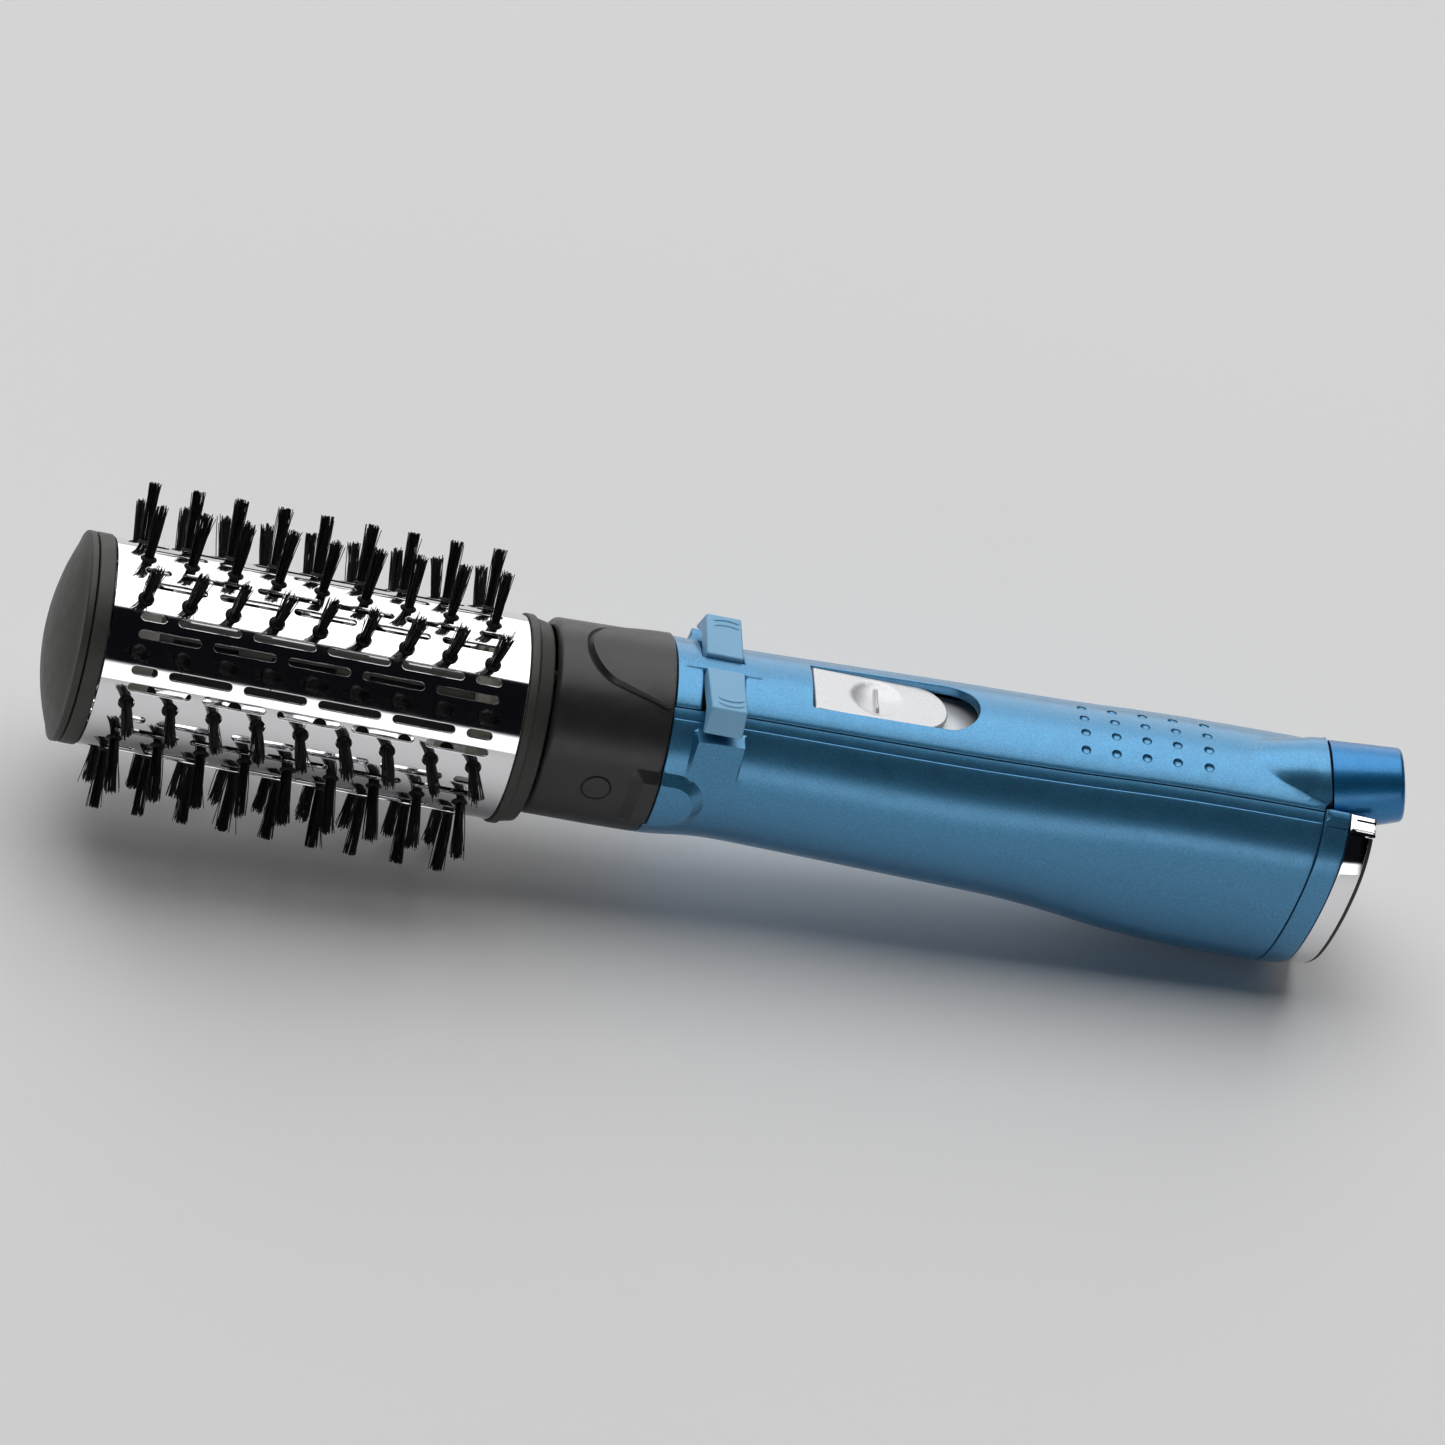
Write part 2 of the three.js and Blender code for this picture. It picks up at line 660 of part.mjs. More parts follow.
// ---------- cord swivel ----------
function swivelCone() {
  const edge = 0.3;
  const outer = [[0, CONE_BASE_RADIUS - edge], [edge, CONE_BASE_RADIUS],
    [CONE_LENGTH - edge, CONE_END_RADIUS], [CONE_LENGTH, CONE_END_RADIUS - edge],
    [CONE_LENGTH, CORD_HOLE_RADIUS]];
  const spigot = [[-9, CORD_HOLE_RADIUS], [-9, 8.6], [-SPIGOT_LENGTH, 8.6],
    [-SPIGOT_LENGTH, SPIGOT_RADIUS], [0, SPIGOT_RADIUS]];
  return onConeAxis(lathe([...outer, ...spigot, outer[0]]));
}

function swivelSocket() {
  return onConeAxis(tube(-SPIGOT_LENGTH + GAP, -GAP, SPIGOT_RADIUS + GAP, CONE_BASE_RADIUS - 2 * GAP));
}

// ---------- controls ----------
function switchBase() {
  const plate = block(10, 56.5, -9, 9, 22.6, 23.9);
  return cut(plate, block(24, 41, -2.4, 2.4, 20, 30));
}

function switchSlider() {
  const shape = roundEnded(SLIDER_START, SLIDER_START + SLIDER_LENGTH, WINDOW_HALF_WIDTH - 0.4);
  const plate = alongZ(shape, SLIDER_TOP - 1.8, SLIDER_TOP);
  const rib = block(28.5, 29.5, -4.5, 4.5, SLIDER_TOP - 0.2, SLIDER_TOP + 0.5);
  const stem = block(26, 31, -2, 2, 21.3, SLIDER_TOP - 1);
  return join(plate, rib, stem);
}

function switchBlock() {
  return cut(block(22, 44, -4.5, 4.5, 19.1, 22.3), block(25, 40, -2.3, 2.3, 21, 25));
}

// Wing-shaped push button: flat top, sloping outer face, plunger under its inner end.
function rotationButton() {
  const wing = outline([[-BUTTON_INNER, BUTTON_TOP], [-BUTTON_CREST, BUTTON_TOP + 0.9], [-18.3, 28.8],
    [-20.3, 22.9], [-19.4, 22.5], [-17, 24.2], [-14, 25.6], [-BUTTON_INNER, 25.6]]);
  const plunger = block(-11, -7.6, -9.5, -5, 23, 26);
  return join(alongX(wing, BUTTON_START, BUTTON_END), plunger);
}

function tactSwitch() {
  return join(block(-12, -6, -10, -4, 19.1, 20.4), block(-10.6, -8, -8.4, -6, 20.2, 21.2));
}

function controlBoard() {
  return block(-13.5, 62, -12.5, 12.5, 17.6, 18.8);
}

// ---------- drive and air path in the handle ----------
function gearbox() {
  return rod(GEARBOX_START, GEARBOX_END, DRIVE_BODY_RADIUS).translate(0, 0, PINION_HEIGHT);
}

function gearMotor() {
  const end = -18;
  const can = rod(GEARBOX_END + GAP, end, DRIVE_BODY_RADIUS);
  const rearBearing = rod(end - 0.5, end + 1.5, 2, 12);
  return join(can, rearBearing).translate(0, 0, PINION_HEIGHT);
}

function ductCone() {
  const wall = 1.2;
  const outer = [[CORE_END + GAP, CORE_RADIUS], [-14, CORE_RADIUS], [8, DUCT_RADIUS],
    [DUCT_START, DUCT_RADIUS]];
  const inner = outer.map(([x, radius]) => [x, radius - wall]).reverse();
  return lathe([...outer, ...inner, outer[0]]);
}

function airDuct() {
  return tube(DUCT_START + GAP, DUCT_END, DUCT_RADIUS - 1, DUCT_RADIUS);
}

function micaSleeve() {
  return tube(COIL_START - 5, COIL_START + COIL_LENGTH + 5, SLEEVE_RADIUS - 0.6, SLEEVE_RADIUS);
}

// Crossed mica plates that carry the heating wire.
function heaterFormer() {
  const reach = 10.8;
  const half = 0.5;
  const cross = outline([[half, reach], [-half, reach], [-half, half], [-reach, half], [-reach, -half],
    [-half, -half], [-half, -reach], [half, -reach], [half, -half], [reach, -half], [reach, half],
    [half, half]]);
  return alongX(cross, COIL_START - 3, COIL_START + COIL_LENGTH + 3);
}

class Helix extends THREE.Curve {
  getPoint(t, target = new THREE.Vector3()) {
    const angle = t * COIL_TURNS * Math.PI * 2;
    const x = COIL_START + t * COIL_LENGTH;
    return target.set(x, COIL_RADIUS * Math.sin(angle), COIL_RADIUS * Math.cos(angle));
  }
}

function heaterCoil() {
  const wire = new THREE.Shape().absarc(0, 0, 0.5, 0, Math.PI * 2);
  const options = { steps: 40, curveSegments: 2, extrudePath: new Helix(), bevelEnabled: false };
  return weld(new THREE.ExtrudeGeometry(wire, options));
}

function thermostat() {
  return rod(60, 67, 2.6, 16).translate(0, 4.6, 4.6);
}

function thermalFuse() {
  return rod(38, 50, 1.6, 12).translate(0, -4, 4);
}

function fanHousing() {
  const wall = 1.2;
  const outer = [[DUCT_END + GAP, DUCT_RADIUS], [104, FAN_HOUSING_RADIUS],
    [FAN_HOUSING_END, FAN_HOUSING_RADIUS]];
  const inner = outer.map(([x, radius]) => [x, radius - wall]).reverse();
  return lathe([...outer, ...inner, outer[0]]);
}

// Ring with three guide vanes between the motor and the fan housing.
function motorMount() {
  const inner = FAN_MOTOR_RADIUS + 0.4;
  const ring = tube(MOTOR_MOUNT_START, MOTOR_MOUNT_END, inner, inner + 1.3);
  const reach = FAN_HOUSING_RADIUS - 1.5;
  const vane = (index) => turned(
    block(MOTOR_MOUNT_START, MOTOR_MOUNT_END, -0.7, 0.7, inner + 1.1, reach), 60 + index * 120,
  );
  return join(ring, ...sequence(3, vane));
}

function fanMotor() {
  const start = 95;
  const end = 116;
  const bearing = (from, to) => rod(from, to, 4, 16);
  return join(rod(start, end, FAN_MOTOR_RADIUS), bearing(start - 1.5, start + 0.2),
    bearing(end - 0.2, end + 1.5));
}

function motorShaft() {
  return rod(117.8, 119.7, 1.2, 12);
}

function fanImpeller() {
  const hubRadius = 6.5;
  const pitch = radians(40);
  const hub = lathe([[FAN_X - 5, 0], [FAN_X - 5, hubRadius], [FAN_X + 4, hubRadius],
    [FAN_X + 7, hubRadius - 3], [FAN_X + 7, 0]]);
  const blade = (index) => turned(
    block(-5, 5, -0.6, 0.6, hubRadius - 0.5, FAN_RADIUS).rotateZ(pitch).translate(FAN_X, 0, 0),
    index * 360 / FAN_BLADES,
  );
  return join(hub, ...sequence(FAN_BLADES, blade));
}

// ---------- assembly ----------
const assembly = new THREE.Group();

function add(name, geometry, look) {
  const material = new THREE.MeshStandardMaterial({
    color: look.colour,
    roughness: look.roughness,
    metalness: look.metalness,
  });
  const mesh = new THREE.Mesh(geometry, material);
  mesh.name = name;
  assembly.add(mesh);
}

add("barrel", barrel(), CHROME);
ROW_ANGLES.forEach((angle, index) => {
  add(`bristle_row_${String(index + 1).padStart(2, "0")}`, bristleRow(angle), NYLON);
});
add("end_cap", endCap(), CAP_GREY);
add("cap_ring", capRing(), CAP_GREY);
add("rear_ring", rearRing(), CAP_GREY);
add("drive_hub", driveHub(), ACETAL);
add("front_bush", frontBush(), ACETAL);
add("drive_pinion", pinion(), STEEL);

add("air_core", airCore(), STEEL);
add("core_pin", corePin(), STEEL);
add("collar", collar(), BLACK_PLASTIC);
add("main_shell", mainShell(), PEARL_BLUE);
add("top_cover", topCover(), PEARL_BLUE);
add("trim_strip_left", trimStrip(), PEARL_BLUE);
add("trim_strip_right", mirrored(trimStrip()), PEARL_BLUE);
add("rear_band", rearBand(), PEARL_BLUE);
add("chrome_rim", chromeRim(), CHROME);
add("rim_clasp_left", rimClasp(), CHROME);
add("rim_clasp_right", mirrored(rimClasp()), CHROME);
add("intake_grille", intakeGrille(), BLACK_PLASTIC);
add("filter_mesh", filterMesh(), STEEL);
add("swivel_cone", swivelCone(), DEEP_BLUE);
add("swivel_socket", swivelSocket(), BLACK_PLASTIC);

add("switch_base", switchBase(), SILVER);
add("switch_slider", switchSlider(), SILVER);
add("switch_block", switchBlock(), BLACK_PLASTIC);
add("rotation_button_left", rotationButton(), BUTTON_BLUE);
add("rotation_button_right", mirrored(rotationButton()), BUTTON_BLUE);
add("tact_switch_left", tactSwitch(), BLACK_PLASTIC);
add("tact_switch_right", mirrored(tactSwitch()), BLACK_PLASTIC);
add("control_board", controlBoard(), BOARD_GREEN);

add("gearbox", gearbox(), STEEL);
add("gear_motor", gearMotor(), STEEL);
add("duct_cone", ductCone(), BLACK_PLASTIC);
add("air_duct", airDuct(), BLACK_PLASTIC);
add("mica_sleeve", micaSleeve(), MICA);
add("heater_former", heaterFormer(), MICA);
add("heater_coil", heaterCoil(), NICHROME);
add("thermostat", thermostat(), STEEL);
add("thermal_fuse", thermalFuse(), STEEL);
add("fan_housing", fanHousing(), BLACK_PLASTIC);
add("motor_mount", motorMount(), BLACK_PLASTIC);
add("fan_motor", fanMotor(), STEEL);
add("motor_shaft", motorShaft(), STEEL);
add("fan_impeller", fanImpeller(), ACETAL);

// Tips the assembly onto its resting points and centres its box over the origin.
assembly.rotation.y = radians(RESTING_PITCH);
const hotAirBrush = new THREE.Group();
hotAirBrush.add(assembly);
const box = new THREE.Box3().setFromObject(hotAirBrush, true);
assembly.position.set(-(box.min.x + box.max.x) / 2, -(box.min.y + box.max.y) / 2, -box.min.z);

export default hotAirBrush;
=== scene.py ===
"""Looks of the rotating hot air brush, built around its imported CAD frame.

Shapes are drawn in millimetres in the brush frame: +X along the barrel axis to the cord end,
+Z to the switch side. BRUSH_TO_ROW carries them to the row frame, in metres.
Angles round the axis start at +Z and grow towards -Y.
"""

import json
import math

import bpy
import numpy as np
from mathutils import Matrix, Vector
from mathutils.geometry import delaunay_2d_cdt


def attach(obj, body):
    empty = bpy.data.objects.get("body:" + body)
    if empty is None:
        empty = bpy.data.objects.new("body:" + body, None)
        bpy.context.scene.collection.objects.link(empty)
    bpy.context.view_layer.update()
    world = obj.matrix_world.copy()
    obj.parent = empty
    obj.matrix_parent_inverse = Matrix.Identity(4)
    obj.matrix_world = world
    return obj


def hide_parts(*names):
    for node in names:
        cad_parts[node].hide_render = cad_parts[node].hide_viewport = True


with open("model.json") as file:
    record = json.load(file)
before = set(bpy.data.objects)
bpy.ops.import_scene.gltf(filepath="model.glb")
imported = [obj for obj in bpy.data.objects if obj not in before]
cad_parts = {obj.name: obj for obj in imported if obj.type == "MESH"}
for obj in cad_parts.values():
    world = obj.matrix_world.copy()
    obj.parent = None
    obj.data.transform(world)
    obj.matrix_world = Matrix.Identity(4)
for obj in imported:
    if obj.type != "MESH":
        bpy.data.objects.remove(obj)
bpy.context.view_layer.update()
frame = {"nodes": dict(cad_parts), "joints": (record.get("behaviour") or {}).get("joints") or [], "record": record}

SCENE = bpy.context.scene

# ---------- the brush frame ----------
MM = 0.001
SPIN = next(joint for joint in frame["joints"] if joint["name"] == "brush_spin")
AXIS = Vector(SPIN["axis"]).normalized()
SIDE = Vector((0, 1, 0))
UP = AXIS.cross(SIDE)
ORIGIN = Vector(SPIN["pos_m"])
BRUSH_TO_ROW = np.array([list(AXIS), list(SIDE), list(UP)])


def to_row(points):
    """Brush frame millimetres to row frame metres."""
    return np.asarray(points, float) * MM @ BRUSH_TO_ROW + np.array(ORIGIN)


def extent(node):
    """Lowest and highest corner of a CAD node in the brush frame, in millimetres."""
    mesh = frame["nodes"][node].data
    points = np.array([vertex.co for vertex in mesh.vertices]) - np.array(ORIGIN)
    local = points @ BRUSH_TO_ROW.T / MM
    return local.min(0), local.max(0)


# ---------- driving dimensions ----------
BARREL_START, BARREL_END = extent("barrel")[0][0], extent("barrel")[1][0]
BARREL_RADIUS = 25.0
BARREL_WALL = 0.8
FIRST_ROW_ANGLE = 53.0
ROWS = 12
ROW_STEP = 360 / ROWS
SLOT_STEP = 10.0
SLOT_WIDTH = 2.0
SLOT_LENGTH = 15.2
SHORT_SLOT_LENGTH = 6.2
SLOT_PITCH = 18.1
SLOTS_PER_ROW = 5
SLOT_MARGIN = 6.7
LAST_SLOT_MARGIN = 6.4
TUFTS_PER_ROW = 9
TUFT_PITCH = 10.56
FIRST_TUFT = 7.3
TUFT_HOLE_RADIUS = 1.9
TIP_RADIUS = 39.7

COLLAR_START, COLLAR_END = -49.8, -21.2
SHELL_START, SHELL_END = -20.9, 139.1
BAND_START, BAND_END = 139.4, 145.7
RIM_START, RIM_END = 146.0, 152.6
SHELL_WALL = 2.2
ARC_RADIUS = 24.4
COVER_ANGLE = 32.9
STRIP_START, STRIP_END = 33.3, 39.7
SHELL_ANGLE = 40.1
BAND_ANGLE = 31.5
CLASP_START, CLASP_END = 31.5, 43.1
RIM_ANGLE = 43.6
TAIL_SLANT = 0.07
TAIL_SLANT_HEIGHT = 4.0
LIP = 0.35

CONE_TILT = math.radians(15)
CONE_BASE = (144.0, 0.0, 26.5)
CONE_BASE_RADIUS = 11.3
CONE_END_RADIUS = 8.95
CONE_LENGTH = 17.8
CORD_HOLE_RADIUS = 4.2
FAIRING_RADIUS = 11.9

WINDOW_START, WINDOW_END, WINDOW_HALF = 12.7, 54.1, 8.0
SLIDER_START, SLIDER_LENGTH, SLIDER_HALF, SLIDER_TOP = 13.3, 33.6, 7.6, 26.8
BUTTON_START, BUTTON_END, BUTTON_TOP = -14.4, -4.6, 29.0
BUTTON_INNER, BUTTON_CREST = 2.6, 17.6

# Handle outline: x, height of the upper arc's centre, of the lower arc's centre, arc radius.
HANDLE_STATIONS = np.array([
    [COLLAR_START, 2.7, 2.7, 23.9],
    [-20, 3.6, 3.4, 24],
    [-8, 4.3, 4.4, 23.4],
    [0, 4.6, 4.6, 23.25],
    [50, 5.2, 5.2, 24.6],
    [70, 6, 4.5, 24.5],
    [83, 6.7, 3, 24.4],
    [97, 7.6, 1, 24.4],
    [112, 8.3, -0.2, 24.4],
    [137, 8.8, -0.3, 24.4],
    [150, 8.7, 0.8, 24.2],
    [160, 8.5, 2.2, 23.8],
])


# ---------- handle surface ----------
def smoothstep(value, low, high):
    t = np.clip((value - low) / (high - low), 0, 1)
    return t * t * (3 - 2 * t)


def station_at(x):
    """Smooth curve through the handle stations: upper centre, lower centre and radius at x."""
    x = np.asarray(x, float)
    table = HANDLE_STATIONS
    last = len(table) - 2
    i = np.clip(np.searchsorted(table[:, 0], x, side="left") - 1, 0, last)
    left, right = table[i], table[i + 1]
    before, after = table[np.maximum(i - 1, 0)], table[np.minimum(i + 2, last + 1)]
    span = (right[..., 0] - left[..., 0])[..., None]
    t = np.clip((x - left[..., 0]) / span[..., 0], 0, 1)[..., None]
    start = (right - before)[..., 1:] / (right - before)[..., :1] * span
    end = (after - left)[..., 1:] / (after - left)[..., :1] * span
    a, b = left[..., 1:], right[..., 1:]
    cubic = 2 * (a - b) + start + end
    square = 3 * (b - a) - 2 * start - end
    return ((cubic * t + square) * t + start) * t + a


def handle_point(x, degrees, inset):
    """Points of the handle's outer surface, moved in by the inset."""
    upper, lower, radius = np.moveaxis(station_at(x), -1, 0)
    towards_top = smoothstep(120 - fold(degrees), 0, 60)
    centre = lower + (upper - lower) * towards_top
    angle = np.radians(degrees)
    y = -(radius - inset) * np.sin(angle)
    z = centre + (radius - inset) * np.cos(angle)
    slant = TAIL_SLANT * smoothstep(np.asarray(x, float), 100, 140)
    return np.stack([x + slant * (z - TAIL_SLANT_HEIGHT), y, z], -1)


def arc(degrees):
    """Length round the handle for an angle, in millimetres."""
    return np.radians(degrees) * ARC_RADIUS


def degrees_of(s):
    return np.degrees(np.asarray(s) / ARC_RADIUS)


def fold(degrees):
    """Angle from the top, the same on both sides of the handle."""
    return np.abs((np.asarray(degrees, float) + 180) % 360 - 180)


# ---------- mesh making ----------
def new_object(name, points, faces, smooth_angle=35):
    """Object in the scene from points in the row frame."""
    mesh = bpy.data.meshes.new(name)
    mesh.from_pydata(np.asarray(points).tolist(), [], [list(map(int, face)) for face in faces])
    mesh.validate()
    mesh.shade_smooth()
    mesh.set_sharp_from_angle(angle=math.radians(smooth_angle))
    piece = bpy.data.objects.new(name, mesh)
    SCENE.collection.objects.link(piece)
    return piece


def place(piece, body, slot, *nodes):
    """Gives a piece its body, its slot's material and the CAD nodes it stands for."""
    piece.data.materials.append(MATERIALS[slot])
    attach(piece, body)
    if nodes:
        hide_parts(*nodes)


def solid(name, points, faces, body, slot, *nodes, smooth_angle=35):
    """Closed piece from points in the brush frame, with its faces turned outwards."""
    if signed_volume(points, faces) < 0:
        faces = [face[::-1] for face in faces]
    piece = new_object(name, to_row(points), faces, smooth_angle)
    place(piece, body, slot, *nodes)
    return piece


def add_bevel(piece, width, segments):
    bevel = piece.modifiers.new("bevel", "BEVEL")
    bevel.width = width * MM
    bevel.segments = segments
    bevel.limit_method = "ANGLE"
    bevel.angle_limit = math.radians(30)
    bevel.harden_normals = False


def ring_faces(rings, columns, closed_rings=False):
    """Quads between rings of points; each ring closes on itself."""
    faces = []
    count = rings if closed_rings else rings - 1
    for i in range(count):
        below, above = i * columns, (i + 1) % rings * columns
        for j in range(columns):
            k = (j + 1) % columns
            faces.append((below + j, below + k, above + k, above + j))
    return faces


def capped_faces(rings, columns):
    """Quads between rings of points, with a flat face over each end."""
    end = (rings - 1) * columns
    faces = ring_faces(rings, columns)
    faces.append(tuple(range(columns))[::-1])
    faces.append(tuple(range(end, end + columns)))
    return faces


def spun(name, profile, columns, body, slot, node, move=None):
    """Solid of revolution from a profile of (x, radius) that closes on itself or on the axis."""
    profile = np.asarray(profile, float)
    on_axis = profile[0][1] == 0 and profile[-1][1] == 0
    inner = profile[1:-1] if on_axis else profile
    angle = np.linspace(0, 2 * math.pi, columns, endpoint=False)
    x = np.repeat(inner[:, :1], columns, 1)
    points = np.stack([x, -inner[:, 1:] * np.sin(angle), inner[:, 1:] * np.cos(angle)], -1)
    points = points.reshape(-1, 3)
    faces = ring_faces(len(inner), columns, closed_rings=not on_axis)
    if on_axis:
        first, last = len(points), len(points) + 1
        points = np.vstack([points, [[profile[0][0], 0, 0], [profile[-1][0], 0, 0]]])
        end = (len(inner) - 1) * columns
        for j in range(columns):
            k = (j + 1) % columns
            faces.append((first, k, j))
            faces.append((last, end + j, end + k))
    solid(name, points if move is None else move(points), faces, body, slot, node)


def signed_volume(points, faces):
    points = np.asarray(points)
    total = 0.0
    for face in faces:
        for i in range(1, len(face) - 1):
            total += np.dot(points[face[0]], np.cross(points[face[i]], points[face[i + 1]]))
    return total


def rounded(before, corner, after, size, steps):
    """Corner of a profile, rounded between its neighbours."""
    corner = np.array(corner)
    before, after = before - corner, after - corner
    start = corner + before / np.linalg.norm(before) * size
    end = corner + after / np.linalg.norm(after) * size
    t = np.linspace(0, 1, steps + 1)[:, None]
    return ((1 - t) ** 2 * start + 2 * t * (1 - t) * corner + t**2 * end).tolist()


def soften(profile, sizes, closed=True, steps=4):
    """Profile with each corner rounded by its size."""
    points = []
    last = len(profile) - 1
    for i, (corner, size) in enumerate(zip(profile, sizes)):
        if size == 0 or (not closed and i in (0, last)):
            points.append(list(corner))
        else:
            points += rounded(profile[i - 1], corner, profile[(i + 1) % (last + 1)], size, steps)
    return points


# ---------- walls drawn flat ----------
def segments_of(loop, closed=True):
    """Start and end of each stretch of a polyline, side by side."""
    loop = np.asarray(loop, float)
    if closed:
        return np.hstack([loop, np.roll(loop, -1, 0)])
    return np.hstack([loop[:-1], loop[1:]])


def resample(loop, step, closed=True):
    """Points along a polyline no further apart than the step, keeping its corners."""
    points = []
    for a, b in segments_of(loop, closed).reshape(-1, 2, 2):
        pieces = max(1, math.ceil(np.linalg.norm(b - a) / step - 1e-9))
        points += [a + (b - a) * i / pieces for i in range(pieces)]
    if not closed:
        points.append(np.asarray(loop[-1], float))
    return np.array(points)


def box(x0, x1, s0, s1, step):
    """Outline of a rectangle, anticlockwise."""
    return resample([(x0, s0), (x1, s0), (x1, s1), (x0, s1)], step)


def straight(start, end, step):
    """Open feature line between two points."""
    return resample([start, end], step, closed=False), False


def half_circle(x, s, radius, points):
    """Round end that bulges towards +x."""
    turn = np.linspace(-math.pi / 2, math.pi / 2, points)
    return [(x + radius * math.cos(t), s + radius * math.sin(t)) for t in turn]


def offset_loop(loop, distance):
    """Closed loop moved sideways by the distance, towards its left."""
    loop = np.asarray(loop, float)
    ahead = np.roll(loop, -1, 0) - loop
    ahead /= np.linalg.norm(ahead, axis=1)[:, None]
    behind = np.roll(ahead, 1, 0)
    left = np.stack([-(ahead + behind)[:, 1], (ahead + behind)[:, 0]], -1)
    left /= np.linalg.norm(left, axis=1)[:, None]
    bend = np.clip((left * np.stack([-ahead[:, 1], ahead[:, 0]], -1)).sum(1), 0.35, 1)
    return loop + left * (distance / bend)[:, None]


def distance_to(points, segments):
    """Distance from each point to the nearest of the segments."""
    best = np.full(len(points), 1e9)
    for start in range(0, len(segments), 200):
        part = segments[start:start + 200]
        a, b = part[:, :2], part[:, 2:]
        ab = b - a
        ap = points[:, None, :] - a[None]
        t = np.clip((ap * ab).sum(-1) / np.maximum((ab * ab).sum(-1), 1e-12), 0, 1)
        gap = ap - t[..., None] * ab
        best = np.minimum(best, np.sqrt((gap * gap).sum(-1)).min(1))
    return best


def inside(points, loop):
    """True for each point that lies inside the closed loop."""
    x, y = points[:, 0], points[:, 1]
    result = np.zeros(len(points), bool)
    loop = np.asarray(loop)
    for (x0, y0), (x1, y1) in zip(loop, np.roll(loop, -1, 0)):
        crosses = (y0 > y) != (y1 > y)
        if y0 != y1:
            result ^= crosses & (x < (x1 - x0) * (y - y0) / (y1 - y0) + x0)
    return result


def triangulate(rim, holes, lines, spacing, keep_clear=0.45):
    """Triangles that fill the rim outside the holes and follow every line."""
    loops = [(rim, True)] + [(hole, True) for hole in holes] + lines
    fixed = np.vstack([loop for loop, _ in loops])
    low, high = rim.min(0), rim.max(0)
    xs = np.linspace(low[0], high[0], max(2, round((high[0] - low[0]) / spacing[0]) + 1))
    ss = np.linspace(low[1], high[1], max(2, round((high[1] - low[1]) / spacing[1]) + 1))
    grid = np.stack(np.meshgrid(xs, ss), -1).reshape(-1, 2)
    segments = np.vstack([segments_of(loop, closed) for loop, closed in loops])
    clear = distance_to(grid, segments) > keep_clear * min(spacing)
    grid = grid[clear & inside(grid, rim)]
    for hole in holes:
        grid = grid[~inside(grid, hole)]
    points = np.vstack([fixed, grid])
    edges = []
    start = 0
    for loop, closed in loops:
        count = len(loop)
        edges += [(start + i, start + i + 1) for i in range(count - 1)]
        if closed:
            edges.append((start + count - 1, start))
        start += count
    made = delaunay_2d_cdt([Vector(point) for point in points], edges, [], 0, 1e-5, False)
    flat = np.array([list(point) for point in made[0]])
    faces = np.array([face for face in made[2] if len(face) == 3])
    centres = flat[faces].mean(1)
    keep = inside(centres, rim)
    for hole in holes:
        keep &= ~inside(centres, hole)
    return flat, faces[keep]


def lip_inset(distance, radius):
    """Fall of a rounded edge at a distance from the edge."""
    reach = np.clip(radius - distance, 0, radius)
    return radius - np.sqrt(radius * radius - reach * reach)


LIP_SHARES = (0.12, 0.35, 0.65, 1.0)


def lip_lines(loop, radius, inwards=1):
    return [(offset_loop(loop, inwards * radius * share), True) for share in LIP_SHARES]


WELD_TOLERANCE = 0.001


def weld_index(points):
    """For each point, the index of the first point at the same place."""
    keys = {}
    index = np.zeros(len(points), int)
    for i, key in enumerate(map(tuple, np.round(points / WELD_TOLERANCE).astype(int))):
        index[i] = keys.setdefault(key, i)
    return index


def boundary_edges(faces):
    edges = {}
    for face in faces:
        for a, b in zip(face, np.roll(face, -1)):
            edges[(int(a), int(b))] = True
    return [edge for edge in edges if (edge[1], edge[0]) not in edges]


def closed_wall(outer, inner, triangles):
    """Points and faces of the wall between two surfaces, and which points it keeps."""
    faces = weld_index(outer)[triangles]
    faces = [face for face in faces if len(set(face)) == 3]
    count = len(outer)
    closed = [tuple(face) for face in faces]
    closed += [tuple(int(v) + count for v in face[::-1]) for face in faces]
    closed += [(b, a, a + count, b + count) for a, b in boundary_edges(faces)]
    used = np.unique(np.concatenate([np.asarray(face) for face in closed]))
    remap = np.full(2 * count, -1)
    remap[used] = np.arange(len(used))
    return np.vstack([outer, inner])[used], [tuple(remap[list(face)]) for face in closed], used


def handle_shell(name, body, slot, node, rim, holes, lines, relief, spacing, lip=LIP,
                 bend=None, edges=None):
    """Handle panel: a drawing in (x, arc) with rounded edges and a relief above its surface."""
    flat, faces = triangulate(rim, holes, lines, spacing)
    if edges is None:
        edges = np.vstack([segments_of(loop) for loop in [rim] + holes])
    x, degrees = flat[:, 0], degrees_of(flat[:, 1])
    inset = lip_inset(distance_to(flat, edges), lip) - relief(x, degrees)
    outer = handle_point(x, degrees, inset)
    if bend is not None:
        outer = bend(outer, flat)
    points, faces, _ = closed_wall(outer, handle_point(x, degrees, SHELL_WALL), faces)
    solid(name, points, faces, body, slot, node, smooth_angle=24)


# ---------- materials ----------
def set_inputs(node, sockets):
    """Sets the node's inputs by name, with underscores for spaces."""
    for socket, value in sockets.items():
        node.inputs[socket.replace("_", " ")].default_value = value


def add_node(tree, kind, operation=None, **sockets):
    node = tree.nodes.new("ShaderNode" + kind)
    if operation:
        node.operation = operation
    set_inputs(node, sockets)
    return node


